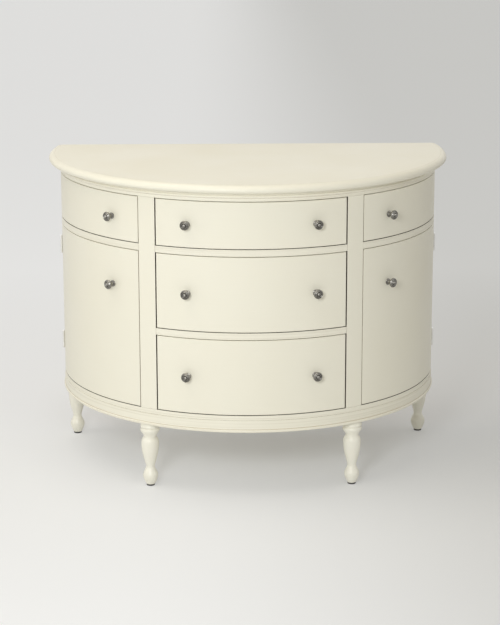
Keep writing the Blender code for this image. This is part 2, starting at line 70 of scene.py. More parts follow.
SIDES = ((-1, "left"), (1, "right"))
MIDDLE_DRAWERS = ("lower_drawer", "middle_drawer", "upper_drawer")
GRAINS = ("across", "deep", "upright")
QUARTER_TURN = math.pi / 2
ORIGIN = (0.0, 0.0, 0.0)
CENTRE = (0.0, CENTRE_Y, 0.0)
RIGHT = (1.0, 0.0, 0.0)
BACK = (0.0, 1.0, 0.0)
UP = (0.0, 0.0, 1.0)

# Small limits of the modelling itself
MERGE = 0.00001
FLAT_LIMIT = math.radians(0.5)
CORNER_LIMIT = math.radians(40)
SMOOTH_LIMIT = math.radians(35)
OVERRUN = math.radians(1)
NARROW = 0.003
CREASE_FULL = math.radians(30)
LEVEL_LIMIT = 0.85
# Marks of the faces that take the painted shade in the gaps
UPRIGHT_CHEEK = 1.0
LEVEL_CHEEK = 0.5
CHEEK_STEP = 0.1
CHEEK_TURN = 0.7

# Straight steps in the roundings and the curves
EDGE_STEPS = 3
NOSE_STEPS = 12
BEAD_STEPS = 10
LEG_CURVE_STEPS = 4
KNOB_CURVE_STEPS = 3
BRAD_STEPS = 12
SCREW_STEPS = 20
FLOOR_CELLS = 8

# A hinge's knuckles, where its tongues end as a share of their radius, and its screws' levels
KNUCKLES = 3
TONGUE_SHARE = 0.6
SCREW_SHARES = (0.14, 0.50, 0.86)

# Where a dome bends over, as shares of its radius and of its rise
PIN_DOME_SHARES = (0.8, 0.7)
SCREW_DOME_SHARES = (0.75, 0.8)
BRAD_DOME_SHARES = (0.7, 0.8)

# Profile of a leg, from the floor up, as shares of its height and of the collar's radius
LEG_SHARES = (
    (0.000, 0.44), (0.045, 0.60), (0.095, 0.725), (0.135, 0.765), (0.170, 0.740),
    (0.220, 0.600), (0.250, 0.495), (0.278, 0.455), (0.310, 0.480), (0.375, 0.600),
    (0.470, 0.765), (0.570, 0.865), (0.655, 0.905), (0.705, 0.870), (0.737, 0.780),
    (0.763, 0.665), (0.788, 0.685), (0.820, 0.810), (0.852, 0.945), (0.875, 1.000),
    (0.897, 0.960), (0.910, 0.905), (0.935, 0.985), (0.960, 0.940), (1.000, 0.930),
)

# Profile of a knob, from its foot out, as shares of its length and of the head's radius
KNOB_SHARES = (
    (0.000, 0.640), (0.035, 0.680), (0.080, 0.670), (0.105, 0.590), (0.130, 0.470),
    (0.180, 0.385), (0.270, 0.350), (0.360, 0.360), (0.430, 0.420), (0.480, 0.560),
    (0.540, 0.780), (0.600, 0.930), (0.660, 0.990), (0.710, 1.000), (0.770, 0.965),
    (0.820, 0.880), (0.845, 0.810), (0.820, 0.740), (0.840, 0.680), (0.880, 0.610),
    (0.890, 0.540), (0.860, 0.470), (0.855, 0.420), (0.900, 0.380), (0.950, 0.320),
    (0.985, 0.200), (0.998, 0.090), (1.000, 0.000),
)

# Detail and roughness of the kinds of noise
SMOOTH = (2.0, 0.50)
CLOUDED = (3.0, 0.55)
SPECKLED = (3.0, 0.60)
BROKEN = (4.0, 0.60)
FIBROUS = (5.0, 0.62)

# Paint: its brush lines to the metre, their strength, the hollow that is full of glaze and painted
# shade, and the most and the least of that darkening
BRUSHED = ((7.0, 420.0, 1.0), 0.20, -0.45, 0.75, 0.35)
LINED = ((1.6, 230.0, 1.0), 0.22, -0.30, 1.0, 0.65)

# Levels of a finish's noise, and the roughness that they give
ROUGHNESS = {
    "paint": (0.30, 0.75, 0.34, 0.46),
    "leg_paint": (0.30, 0.70, 0.28, 0.36),
    "wood": (0.30, 0.75, 0.52, 0.70),
    "pewter": (0.30, 0.70, 0.24, 0.42),
    "steel": (0.30, 0.70, 0.22, 0.36),
    "plastic": (0.30, 0.70, 0.48, 0.62),
}
PAINT_IOR = 1.48
METAL = 1.0
FLOOR_ROUGHNESS = 0.75
FLOOR_SPECULAR = 0.15
SENSOR_WIDTH = 36.0


def value(kind, **options):
    """A maker of one kind of value that a user can change."""
    def make(name, description, default):
        return kind(name=name, description=description, default=default, **options)
    return make


length_value = value(FloatProperty, min=0.0, precision=4, unit="LENGTH")
place_value = value(FloatProperty, precision=4, unit="LENGTH")
angle_value = value(FloatProperty, unit="ROTATION")
power_value = value(FloatProperty, min=0.0, unit="POWER")
lens_value = value(FloatProperty, min=1.0, unit="CAMERA")
share_value = value(FloatProperty, min=0.0, max=1.0)
steps_value = value(IntProperty, min=8, max=720)
spot_value = value(FloatVectorProperty, size=3, precision=3, subtype="XYZ", unit="LENGTH")
colour_value = value(FloatVectorProperty, size=3, min=0.0, max=1.0, subtype="COLOR")


class ChestSizes(bpy.types.PropertyGroup):
    """Sizes of the case, its fronts and its boards."""

    turn_steps: steps_value("Steps of a turn", "Straight steps in a turn of the plan's curve", 240)
    seat_gap: length_value("Seat gap", "Gap between pieces that touch", 0.0003)
    edge_round: length_value("Edge rounding", "Rounding of the painted edges", 0.0011)
    fine_round: length_value("Fine rounding", "Rounding of edges that meet flush", 0.0005)
    # On this band the glaze and painted shade of a hollow show as a line
    shade_band: length_value("Shade band", "Band beside a hollow that holds glaze", 0.0012)
    # Depths of the painted shade inside the gaps beside the fronts
    joint_start: length_value("Joint start", "Depth where the joints begin to darken", 0.0003)
    joint_dark: length_value("Joint dark", "Depth at which the joints are dark", 0.0015)
    joint_end: length_value("Joint end", "Depth at which the joints' glaze ends", 0.0080)
    front_thickness: length_value("Front thickness", "Thickness of fronts and doors", 0.020)
    front_reveal: length_value("Front reveal", "Open line beside a front", 0.002)
    stile_depth: length_value("Stile depth", "Depth of the stiles and of the top rail", 0.050)
    stile_angle: angle_value("Stile angle", "Plan angle of the stile's outer side",
                             math.radians(34.2))
    nose_upper_run: length_value("Nose upper run", "How far the top's edge rounds above", 0.0158)
    nose_step_run: length_value("Nose step run", "Width of the step inside the rounding", 0.0014)
    nose_step_drop: length_value("Nose step drop", "Height of the step", 0.0005)
    nose_upper_drop: length_value("Nose upper drop", "Height of the upper round", 0.0135)
    nose_lower_run: length_value("Nose lower run", "How far the top's edge rounds below", 0.012)
    bead_bulge: length_value("Bead bulge", "How far the rail's bead stands out", 0.0035)
    bead_height: length_value("Bead height", "Height of the rail's bead", 0.0072)
    bead_lift: length_value("Bead lift", "Height of the bead over the rail's low edge", 0.0087)
    fillet_bulge: length_value("Fillet bulge", "How far the rail stands out over its bead", 0.002)
    base_depth: length_value("Base depth", "Depth of the base moulding", 0.055)
    base_bulge: length_value("Base bulge", "How far the base stands out", 0.001)
    lip_bulge: length_value("Lip bulge", "How far the base's lip stands out", 0.004)
    lip_height: length_value("Lip height", "Height of the base's lip", 0.008)
    painted_depth: length_value("Painted depth", "Painted part of a dust board's middle", 0.090)
    box_wall: length_value("Drawer wall", "Thickness of a middle drawer's walls", 0.012)
    brad_radius: length_value("Brad radius", "Radius of a brad's head", 0.0024)
    brad_spacing: length_value("Brad spacing", "Distance between brads in the back", 0.110)
    brad_inset: length_value("Brad inset", "Distance of the brads from the panel's edge", 0.009)


class TurnedSizes(bpy.types.PropertyGroup):
    """Sizes of the knobs, the legs and their glides."""

    knob_radius: length_value("Knob radius", "Radius of the knob's head", 0.0127)
    knob_length: length_value("Knob length", "How far the knob stands out", 0.0270)
    knob_steps: steps_value("Knob steps", "Straight steps round the knob", 56)
    middle_angle: angle_value("Middle knob angle", "Plan angle of the middle drawers' knobs",
                              math.radians(18.6))
    side_angle: angle_value("Side knob angle", "Plan angle of the side knobs", math.radians(44.2))
    leg_radius: length_value("Leg radius", "Radius of the leg's widest ring", 0.0262)
    leg_steps: steps_value("Leg steps", "Straight steps round the leg", 72)
    glide_rim: length_value("Glide rim", "Rounding of the glide's rims", 0.0008)


class HingeSizes(bpy.types.PropertyGroup):
    """Sizes of the butt hinges."""

    leaf_thickness: length_value("Leaf thickness", "Thickness of a hinge leaf", 0.0012)
    knuckle_radius: length_value("Knuckle radius", "Radius of the hinge's knuckles", 0.0035)
    pin_radius: length_value("Pin radius", "Radius of the hinge's pin", 0.0018)
    screw_radius: length_value("Screw radius", "Radius of a screw's head", 0.0026)
    screw_rise: length_value("Screw rise", "How far a screw's head stands out", 0.0001)
    rounding: length_value("Rounding", "Rounding of the hinge's edges", 0.0003)
    steps: steps_value("Steps", "Straight steps round a knuckle", 32)


class ChestColours(bpy.types.PropertyGroup):
    """Colours of the chest's finishes."""

    paint: colour_value("Paint", "Cream paint", (0.872, 0.846, 0.727))
    paint_worn: colour_value("Worn paint", "Paint where it is handled", (0.842, 0.804, 0.666))
    # Brown glaze, also used as painted shade in hollows and gaps and for rubbed edges
    glaze: colour_value("Glaze", "Brown glaze left in the grooves", (0.420, 0.340, 0.220))
    # Near-black painted shade inside the gaps
    painted_gap_shade: colour_value("Joint glaze", "Dark glaze inside the joints", (0.060, 0.046, 0.030))
    leg_paint: colour_value("Leg paint", "Paint of the legs", (0.900, 0.880, 0.780))
    wood: colour_value("Wood", "Pale bare wood", (0.640, 0.470, 0.290))
    wood_dark: colour_value("Wood grain", "Darker grain of the bare wood", (0.480, 0.320, 0.170))
    pewter: colour_value("Pewter", "Dark metal of the knobs", (0.300, 0.288, 0.262))
    pewter_dark: colour_value("Patina", "Patina in the knobs' grooves", (0.030, 0.028, 0.024))
    steel: colour_value("Steel", "Metal of hinges and rods", (0.900, 0.895, 0.875))
    steel_dull: colour_value("Dull steel", "Dull spots of the steel", (0.800, 0.795, 0.770))
    plastic: colour_value("Plastic", "Dark plastic of the glides", (0.030, 0.027, 0.024))
    plastic_pale: colour_value("Rubbed plastic", "Rubbed grain of the glides",
                               (0.060, 0.055, 0.050))


class StudioSettings(bpy.types.PropertyGroup):
    """Floor, lamps and camera of the studio."""

    floor_colour: colour_value("Floor", "Pale studio floor", (0.868, 0.877, 0.895))
    floor_shade: colour_value("Floor shade", "Slightly darker floor", (0.843, 0.852, 0.868))
    # Painted light and shadow on the floor: its glow is brighter at the left and weaker beneath
    # the chest
    glow_share: share_value("Glow share", "Share of the floor's own glow beside the chest", 0.30)
    glow_under_share: share_value("Glow under", "Share of the glow beneath the chest", 0.08)
    glow_under_reach: length_value("Glow under reach", "How far the low share reaches", 0.35)
    glow_open_reach: length_value("Glow open reach", "Where the full share begins", 0.68)
    glow_middle_y: place_value("Glow middle Y", "Middle of the low share", 0.5)
    glow_far_share: share_value("Far glow share", "Share of the floor's own glow behind", 0.60)
    glow_start: place_value("Glow start", "Where the glow behind begins", -0.2)
    glow_end: place_value("Glow end", "Where the glow behind is full", 2.4)
    glow_bright_x: place_value("Bright glow X", "Where the glow at the left ends", -0.35)
    glow_dim_x: place_value("Dim glow X", "Where the glow at the right is full", 0.95)
    glow_left: colour_value("Glow left", "Glow of the floor at the left", (0.96, 0.96, 0.95))
    glow_right: colour_value("Glow right", "Glow of the floor at the right", (0.45, 0.45, 0.43))
    glow_far_left: colour_value("Far glow left", "Glow behind at the left", (0.95, 0.95, 0.94))
    glow_far_right: colour_value("Far glow right", "Glow behind, right", (0.68, 0.68, 0.66))
    floor_size: length_value("Floor size", "Side of the square floor", 80.0)
    floor_drop: length_value("Floor drop", "How far the floor lies under the glides", 0.0002)
    world_light: share_value("World light", "Strength of the even light", 0.435)
    world_colour: colour_value("World colour", "Warm even light", (1.0, 0.965, 0.89))
    backdrop_light: share_value("Backdrop light", "Strength of the backdrop", 1.0)
    backdrop_colour: colour_value("Backdrop", "Pale backdrop", (1.0, 0.995, 0.985))
    front_power: power_value("Front power", "Power of the lamp in front", 50.0)
    front_colour: colour_value("Front colour", "Cool light of the front lamp", (0.97, 0.99, 1.0))
    front_place: spot_value("Front place", "Place of the lamp in front", (-0.85, -3.55, 1.8))
    front_size: length_value("Front size", "Side of the lamp in front", 0.8)
    side_power: power_value("Side power", "Power of the lamp at the left", 12.5)
    side_colour: colour_value("Side colour", "White light of the left lamp", (1.0, 1.0, 1.0))
    side_place: spot_value("Side place", "Place of the lamp at the left", (-3.8, -0.9, 1.3))
    side_size: length_value("Side size", "Side of the lamp at the left", 2.0)
    high_power: power_value("High power", "Power of the lamp above", 31.0)
    high_colour: colour_value("High colour", "Warm light of the lamp above", (1.0, 0.94, 0.81))
    high_place: spot_value("High place", "Place of the lamp above", (-0.9, -0.45, 3.3))
    high_size: length_value("High size", "Side of the lamp above", 2.4)
    camera_place: spot_value("Camera place", "Place of the camera", (-0.103, -5.3685, 1.783))
    camera_yaw: angle_value("Camera yaw", "Turn of the camera to its right", math.radians(1.11))
    camera_pitch: angle_value("Camera pitch", "How far the camera looks down",
                              math.radians(14.16))
    camera_roll: angle_value("Camera roll", "Roll of the camera", math.radians(-0.10))
    camera_lens: lens_value("Lens", "Focal length for the sensor's width", 116.97)


def levels(node):
    """The lowest and the highest level of a part of the frame."""
    return tuple(corner.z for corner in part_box(node))


def nearest_x(node):
    """How far a part of the frame stays from the chest's middle."""
    return min(abs(corner.x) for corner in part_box(node))


def rabbet_corner(sizes):
    """The inner corner of the rabbet at the right, in which the back panel sits."""
    return PANEL_HIGH.x + sizes.seat_gap, PANEL_LOW.y - sizes.seat_gap


def plan_point(radius, angle, height):
    """A point on the plan's curve, with the angle from straight ahead, positive to the right."""
    return Vector((radius * math.sin(angle), CENTRE_Y - radius * math.cos(angle), height))


def curve_front(radius, x):
    """How far forward a circle of the plan reaches at a distance from the middle."""
    return CENTRE_Y - math.sqrt(radius ** 2 - x ** 2)


def angle_at_x(radius, x):
    """The plan angle where a circle crosses a line that runs from front to back."""
    return math.asin(x / radius)


def angle_at_y(radius, y):
    """The plan angle where a circle crosses a line that runs from side to side."""
    return QUARTER_TURN + math.asin((y - CENTRE_Y) / radius)


def arc_steps(start, end, sizes):
    """Straight steps between two plan angles."""
    return max(1, math.ceil(abs(end - start) * sizes.turn_steps / math.tau))


def quarter(radius, height, run, rise, start, end, steps):
    """Points on part of an ellipse round a radius and a height."""
    turns = [start + (end - start) * step / steps for step in range(steps + 1)]
    return [(radius + run * math.cos(turn), height + rise * math.sin(turn)) for turn in turns]


def bead(radius, low, bulge, height):
    """The outer half of a round bead, from its lower edge up."""
    return quarter(radius, low + height / 2, bulge, height / 2, -QUARTER_TURN, QUARTER_TURN,
                   BEAD_STEPS)


def dome_bend(radius, rise, shares):
    """The point where a dome bends over."""
    return radius * shares[0], rise * shares[1]


def between(a, b, c, d, t):
    """A point on the smooth curve from b to c, with a before it and d after it."""
    linear = (c - a) / 2
    square = (2 * a - 5 * b + 4 * c - d) / 2
    cube = (3 * b - a - 3 * c + d) / 2
    return b + t * linear + t * t * square + t * t * t * cube


def smoothed(shares, radius, length, steps):
    """Radii and heights on a smooth curve through a turned profile's shares."""
    points = [Vector((radius * width, length * height)) for height, width in shares]
    ends = [points[0]] + points + [points[-1]]
    spans = zip(ends, ends[1:], ends[2:], ends[3:])
    curve = [between(*span, step / steps) for span in spans for step in range(steps)]
    return [tuple(point) for point in curve + [points[-1]]]


def outward(mesh):
    """Point every face outward."""
    mesh.normal_update()
    bmesh.ops.recalc_face_normals(mesh, faces=mesh.faces)
    mesh.normal_update()
    return mesh


def open_rims(mesh):
    """The edges round the open holes."""
    return [edge for edge in mesh.edges if edge.is_boundary]


def close_holes(mesh):
    """Close every open rim with a face."""
    bmesh.ops.holes_fill(mesh, edges=open_rims(mesh), sides=0)
    return outward(mesh)


def slit(mesh, point, direction, clear=False):
    """Cut the faces along a plane, and take away what lies beyond it if it is cleared."""
    everything = mesh.verts[:] + mesh.edges[:] + mesh.faces[:]
    bmesh.ops.bisect_plane(mesh, geom=everything, dist=MERGE, plane_co=point,
                           plane_no=direction, clear_outer=clear)


def cut(mesh, point, direction):
    """Take away what lies beyond a plane and close the cut."""
    slit(mesh, point, direction, True)
    return close_holes(mesh)


def rabbet(mesh, sizes):
    """Cut the two corners that the back panel's edges sit in."""
    x, y = rabbet_corner(sizes)
    slit(mesh, (0.0, y, 0.0), BACK)
    for side, _ in SIDES[::-1]:
        slit(mesh, (side * x, 0.0, 0.0), RIGHT)
    inside = [face for face in mesh.faces
              if abs(face.calc_center_median().x) < x and face.calc_center_median().y > y]
    bmesh.ops.delete(mesh, geom=inside, context="FACES")
    rim = open_rims(mesh)
    for side, _ in SIDES:
        corner = [vert for vert in {vert for edge in rim for vert in edge.verts}
                  if abs(vert.co.x - side * x) < 2 * MERGE and abs(vert.co.y - y) < 2 * MERGE]
        rim.append(mesh.edges.new(sorted(corner, key=lambda vert: vert.co.z)))
    bmesh.ops.edgenet_fill(mesh, edges=rim)
    return outward(mesh)


def chain(mesh, points, closed):
    """Corners joined by edges, in order."""
    corners = [mesh.verts.new(point) for point in points]
    ends = corners[1:] + corners[:1] if closed else corners[1:]
    return corners + [mesh.edges.new(pair) for pair in zip(corners, ends)]


def spun(mesh, geometry, centre, steps):
    """Geometry spun once round an upright axis, and merged where it meets itself."""
    bmesh.ops.spin(mesh, geom=geometry, cent=centre, axis=UP, angle=math.tau, steps=steps,
                   use_merge=True)
    bmesh.ops.remove_doubles(mesh, verts=mesh.verts, dist=MERGE)
    return mesh


def half_round(profile, ring, sizes):
    """A profile of radius and height spun round the plan's centre and cut along the back."""
    mesh = bmesh.new()
    geometry = chain(mesh, [plan_point(radius, 0.0, height) for radius, height in profile], ring)
    return cut(spun(mesh, geometry, CENTRE, sizes.turn_steps), (0.0, BACK_Y, 0.0), BACK)


def turned(profile, steps):
    """A profile of radius and height spun once round the Z axis."""
    mesh = bmesh.new()
    geometry = chain(mesh, [(radius, 0.0, height) for radius, height in profile], False)
    return outward(spun(mesh, geometry, ORIGIN, steps))


def curved_front(node, start, end, sizes):
    """A front as high as its part of the frame, bent to the plan's curve between two angles."""
    low, high = levels(node)
    inner = BODY_RADIUS - sizes.front_thickness
    profile = [(inner, low), (BODY_RADIUS, low), (BODY_RADIUS, high), (inner, high)]
    mesh = bmesh.new()
    geometry = chain(mesh, [plan_point(radius, start, height) for radius, height in profile], True)
    bmesh.ops.spin(mesh, geom=geometry, cent=CENTRE, axis=UP, angle=end - start,
                   steps=arc_steps(start, end, sizes))
    return close_holes(mesh)


def curve_corners(mesh, radius, start, end, height, sizes):
    """Corners along the plan's curve, made by spinning one corner."""
    first = mesh.verts.new(plan_point(radius, start, height))
    steps = arc_steps(start, end, sizes)
    bmesh.ops.spin(mesh, geom=[first], cent=CENTRE, axis=UP, angle=end - start, steps=steps)
    corners = [first]
    while len(corners) <= steps:
        ends = [edge.other_vert(corners[-1]) for edge in corners[-1].link_edges]
        corners.append(next(vert for vert in ends if vert not in corners))
    return corners


def thickened(mesh, corners, offset):
    """A solid from the corners of its flat side, pushed out from there."""
    lifted = bmesh.ops.extrude_face_region(mesh, geom=[mesh.faces.new(corners)])
    raised = [item for item in lifted["geom"] if isinstance(item, bmesh.types.BMVert)]
    bmesh.ops.translate(mesh, vec=offset, verts=raised)
    return outward(mesh)


def plate(node, outline, sizes):
    """A board as high as its part of the frame, from corners (x, y) and arcs (radius, angles)."""
    low, high = levels(node)
    mesh = bmesh.new()
    corners = []
    for part in outline:
        if len(part) == 2:
            corners.append(mesh.verts.new((*part, low)))
        else:
            corners += curve_corners(mesh, *part, low, sizes)
    return thickened(mesh, corners, (0.0, 0.0, high - low))


def mirrored(outline, side):
    """An outline of the right half, moved to the left half where side is -1."""
    if side > 0:
        return outline
    return [(-part[0], part[1]) if len(part) == 2 else (part[0], -part[1], -part[2])
            for part in outline]


def block(low, high):
    """A box between two corners."""
    mesh = bmesh.new()
    bmesh.ops.create_cube(mesh, size=1.0)
    low, high = Vector(low), Vector(high)
    bmesh.ops.scale(mesh, vec=high - low, verts=mesh.verts)
    return moved(mesh, (low + high) / 2)


def moved(mesh, place, turning=None):
    """A shape turned about the origin, if a turning is given, and moved to its place."""
    if turning is not None:
        bmesh.ops.rotate(mesh, verts=mesh.verts, cent=ORIGIN, matrix=turning)
    bmesh.ops.translate(mesh, vec=place, verts=mesh.verts)
    return mesh


def mesh_data(name, mesh):
    """Blender's own mesh from a shape, which is used up."""
    data = bpy.data.meshes.new(name)
    mesh.to_mesh(data)
    mesh.free()
    return data


def shown(name, data):
    """An object in the scene."""
    item = bpy.data.objects.new(name, data)
    bpy.context.scene.collection.objects.link(item)
    return item


def joined(shapes):
    """Several shapes as one mesh."""
    whole = bmesh.new()
    for shape in shapes:
        carrier = mesh_data("carrier", shape)
        whole.from_mesh(carrier)
        bpy.data.meshes.remove(carrier)
    return whole


def frame_shape(node):
    """A merged copy of a part of the frame, with its flat faces whole."""
    mesh = bmesh.new()
    mesh.from_mesh(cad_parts[node].data)
    bmesh.ops.remove_doubles(mesh, verts=mesh.verts, dist=MERGE)
    bmesh.ops.dissolve_limit(mesh, angle_limit=FLAT_LIMIT, verts=mesh.verts, edges=mesh.edges)
    return outward(mesh)


def soften(mesh, radius):
    """Round every sharp edge."""
    corners = [edge for edge in mesh.edges if edge.calc_face_angle(0.0) > CORNER_LIMIT]
    bmesh.ops.bevel(mesh, geom=corners, offset=radius, offset_type="OFFSET", segments=EDGE_STEPS,
                    profile=0.5, affect="EDGES", clamp_overlap=True, material=-1)
    mesh.normal_update()
    return mesh


def bar(radius, low, high, steps, rounding):
    """A round bar on the Z axis with rounded rims."""
    profile = [(0.0, low), (radius, low), (radius, high), (0.0, high)]
    return soften(turned(profile, steps), rounding)


def standing_bar(node, steps, rounding):
    """A round bar in the place of a part of the frame."""
    low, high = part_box(node)
    middle = (low + high) / 2
    return moved(bar((high.x - low.x) / 2, low.z, high.z, steps, rounding),
                 (middle.x, middle.y, 0.0))


def mark_creases(mesh):
    """Write on the narrow faces how far a corner stands out or lies in a hollow, for wear, glaze,
    patina and painted shade.
    """
    layer = mesh.loops.layers.float.new("crease")
    depths = {}
    for vert in mesh.verts:
        turns = [edge.calc_face_angle_signed(0.0) for edge in vert.link_edges]
        depth = sum(turns) / (max(len(turns), 1) * CREASE_FULL)
        depths[vert] = max(-1.0, min(1.0, depth))
    for face in mesh.faces:
        width = face.calc_area() / max(edge.calc_length() for edge in face.edges)
        for loop in face.loops:
            loop[layer] = depths[loop.vert] if width < NARROW else 0.0


def mark_cheeks(mesh):
    """Write 1 on upright faces across the curve that don't look back, 0.5 on level ones above, for
    the painted gap shade.
    """
    layer = mesh.loops.layers.float.new("cheek")
    for face in mesh.faces:
        place = face.calc_center_median()
        across = Vector((place.x, place.y - CENTRE_Y, 0.0)).normalized()
        mark = 0.0
        if face.normal.z > LEVEL_LIMIT:
            mark = LEVEL_CHEEK
        elif max(abs(face.normal.z), abs(face.normal.dot(across)), face.normal.y) < CHEEK_TURN:
            mark = UPRIGHT_CHEEK
        for loop in face.loops:
            loop[layer] = mark


def unroll(mesh):
    """A map in metres: along the plan's curve and up, or left to right and deep where level."""
    layer = mesh.loops.layers.uv.new("Unrolled")
    for face in mesh.faces:
        level = abs(face.normal.z) > LEVEL_LIMIT
        for loop in face.loops:
            place = loop.vert.co
            turn = math.atan2(place.x, CENTRE_Y - place.y)
            loop[layer].uv = (place.x, place.y) if level else (turn * BODY_RADIUS, place.z)


def finished(name, mesh, materials, body, slot, *nodes):
    """A finished piece that stands for its parts of the frame and rides on its body."""
    outward(mesh)
    mark_creases(mesh)
    mark_cheeks(mesh)
    unroll(mesh)
    data = mesh_data(name, mesh)
    for material in materials:
        data.materials.append(material)
    data.shade_smooth()
    data.set_sharp_from_angle(angle=SMOOTH_LIMIT)
    piece = shown(name, data)
    flat = piece.modifiers.new("even_shading", "WEIGHTED_NORMAL")
    flat.keep_sharp = True
    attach(piece, body)
    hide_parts(*nodes)
    return piece


def fine(node, mesh, material, body, slot):
    """A finished piece of one material, in the place of one part of the frame."""
    return finished(node + "_fine", mesh, [material], body, slot, node)


def painted(node, mesh, body, rounding, finish="brushed"):
    """A painted wooden piece with rounded edges, in the place of a part of the frame."""
    return fine(node, soften(mesh, rounding), paint(finish), body, "cream_paint")


def wooden(node, mesh, body, grain, rounding):
    """A bare wooden piece with rounded edges, in the place of a part of the frame."""
    return fine(node, soften(mesh, rounding), bare_wood(grain), body, "bare_wood")


def case_board(node, outline, side, sizes, finish):
    """A painted board of the case, from its outline on the right side."""
    mesh = plate(node, mirrored(outline, side), sizes)
    return painted(node, mesh, "carcase", sizes.fine_round, finish)


def rewood(node, grain):
    """Bare wood on a part of the frame whose shape is right."""
    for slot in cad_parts[node].material_slots:
        slot.link = "OBJECT"
        slot.material = bare_wood(grain)


class NodeBench:
    """The nodes of a material or of the world."""

    def __init__(self, owner):
        owner.use_nodes = True
        self.tree = owner.node_tree

    def plug(self, node, sockets):
        """Set a node's sockets to values and colours, or link them."""
        for key, source in sockets.items():
            socket = node.inputs[key]
            if isinstance(source, bpy.types.NodeSocket):
                self.tree.links.new(source, socket)
            else:
                socket.default_value = (*source, 1.0) if socket.type == "RGBA" else source

    def add(self, kind, settings=None, sockets=None):
        """The outputs of a new node with its settings and sockets."""
        node = self.tree.nodes.new(kind)
        for key, setting in (settings or {}).items():
            setattr(node, key, setting)
        self.plug(node, sockets or {})
        return node.outputs

    def ranged(self, source, low, high, to_low=0.0, to_high=1.0, easing="LINEAR"):
        """A value moved from one range to another and kept inside it."""
        return self.add("ShaderNodeMapRange", {"clamp": True, "interpolation_type": easing},
                        {"Value": source, "From Min": low, "From Max": high, "To Min": to_low,
                         "To Max": to_high})["Result"]

    def worked(self, operation, first, second, clamp=False):
        """Two values worked out as one."""
        return self.add("ShaderNodeMath", {"operation": operation, "use_clamp": clamp},
                        {0: first, 1: second})["Value"]

    def product(self, first, second):
        """Two values multiplied."""
        return self.worked("MULTIPLY", first, second)

    def blended(self, share, first, second):
        """Two colours mixed by a share."""
        return self.add("ShaderNodeMix", {"data_type": "RGBA"},
                        {0: share, 6: first, 7: second})[2]

    def seen_rays(self):
        """One for rays that see or mirror the surroundings, and nothing for those that light."""
        ray = self.add("ShaderNodeLightPath")
        mirrored_too = self.worked("ADD", ray["Is Camera Ray"], ray["Is Glossy Ray"])
        return self.worked("ADD", mirrored_too, ray["Is Transmission Ray"], True)

    def chosen_surface(self, output, share, first, second):
        """Show two shaders mixed by a share."""
        mixed = self.add("ShaderNodeMixShader", sockets={0: share, 1: first, 2: second})
        self.plug(self.tree.nodes[output], {"Surface": mixed[0]})


class MaterialBench(NodeBench):
    """The nodes of a new material, with its shader and the places in metres on the chest."""

    def __init__(self, name):
        super().__init__(bpy.data.materials.new(name))
        self.shader = self.tree.nodes["Principled BSDF"]
        self.place = self.add("ShaderNodeTexCoord")["Object"]

    def attribute(self, name):
        """What is written on the piece under a name."""
        return self.add("ShaderNodeAttribute", {"attribute_name": name})["Fac"]

    def noise(self, kind, cycles, place=None):
        """Noise with so many cycles to the metre, one count for all axes or one for each."""
        detail, roughness = kind
        cycles = cycles if isinstance(cycles, tuple) else (cycles,) * 3
        spread = self.add("ShaderNodeMapping",
                          sockets={"Vector": place or self.place, "Scale": cycles})["Vector"]
        return self.add("ShaderNodeTexNoise",
                        sockets={"Vector": spread, "Scale": 1.0, "Detail": detail,
                                 "Roughness": roughness})["Fac"]

    def bumped(self, height, strength, distance, under=None):
        """A bump from a height, over another bump if one is given."""
        sockets = {"Height": height, "Strength": strength, "Distance": distance}
        if under is not None:
            sockets["Normal"] = under
        return self.add("ShaderNodeBump", sockets=sockets)["Normal"]

    def tinted(self, tone, other, source, low, high, most):
        """A tone that goes over to another, as far as a share, where a value rises."""
        return self.blended(self.ranged(source, low, high, to_high=most), tone, other)

    def hollows(self, deep, shallow, most):
        """The share of darkening in hollows, from deep ones to shallow ones."""
        return self.ranged(self.attribute("crease"), deep, shallow, to_low=most, to_high=0.0)

    def coat(self, kind, tone, dullness, normal, **constants):
        """Feed the shader, and set what is the same all over."""
        roughness = self.ranged(dullness, *ROUGHNESS[kind])
        self.plug(self.shader, {"Base Color": tone, "Roughness": roughness, "Normal": normal,
                                **constants})


def kept_as(name):
    """Make a material once, under a name where {} stands for the finish that is asked for."""
    def keeper(make):
        def ask(*choice):
            full_name = name.format(*choice)
            if full_name not in bpy.data.materials:
                make(MaterialBench(full_name), *choice)
            return bpy.data.materials[full_name]
        return ask
    return keeper


def gap_shade_mask(nodes, lined):
    """Painted shade in the gaps: one on the cheeks just inside the joints of the curved front, and
    nothing elsewhere.
    """
    sizes = bpy.context.scene.chest_sizes
    limit = LEVEL_CHEEK if lined else UPRIGHT_CHEEK
    cheek = nodes.ranged(nodes.attribute("cheek"), limit - CHEEK_STEP, limit)
    flat = nodes.add("ShaderNodeVectorMath", {"operation": "MULTIPLY_ADD"},
                     {0: nodes.place, 1: (1.0, 1.0, 0.0), 2: (0.0, -CENTRE_Y, 0.0)})["Vector"]
    radius = nodes.add("ShaderNodeVectorMath", {"operation": "LENGTH"}, {0: flat})["Value"]
    front = nodes.ranged(radius, BODY_RADIUS - sizes.joint_dark,
                         BODY_RADIUS - sizes.joint_start, to_low=1.0, to_high=0.0)
    back = nodes.ranged(radius, BODY_RADIUS - sizes.joint_end,
                        BODY_RADIUS - sizes.joint_end / 2)
    return nodes.product(cheek, nodes.product(front, back))


@kept_as("cream_paint_turned")
def leg_paint(nodes):
    """Cleaner and glossier cream paint of the turned legs."""
    colours = bpy.context.scene.chest_colours
    rings = nodes.noise(CLOUDED, cycles=(20.0, 20.0, 500.0))
    drift = nodes.noise(SMOOTH, cycles=30.0)
    tone = nodes.tinted(colours.leg_paint, colours.paint, drift, low=0.35, high=0.70, most=0.40)
    # Brown glaze in the legs' grooves, partly painted shade
    hollow_darkening = nodes.hollows(deep=-0.60, shallow=-0.08, most=0.35)
    tone = nodes.blended(hollow_darkening, tone, colours.glaze)
    bump = nodes.bumped(rings, strength=0.10, distance=0.0003)
    nodes.coat("leg_paint", tone, drift, bump, IOR=PAINT_IOR)


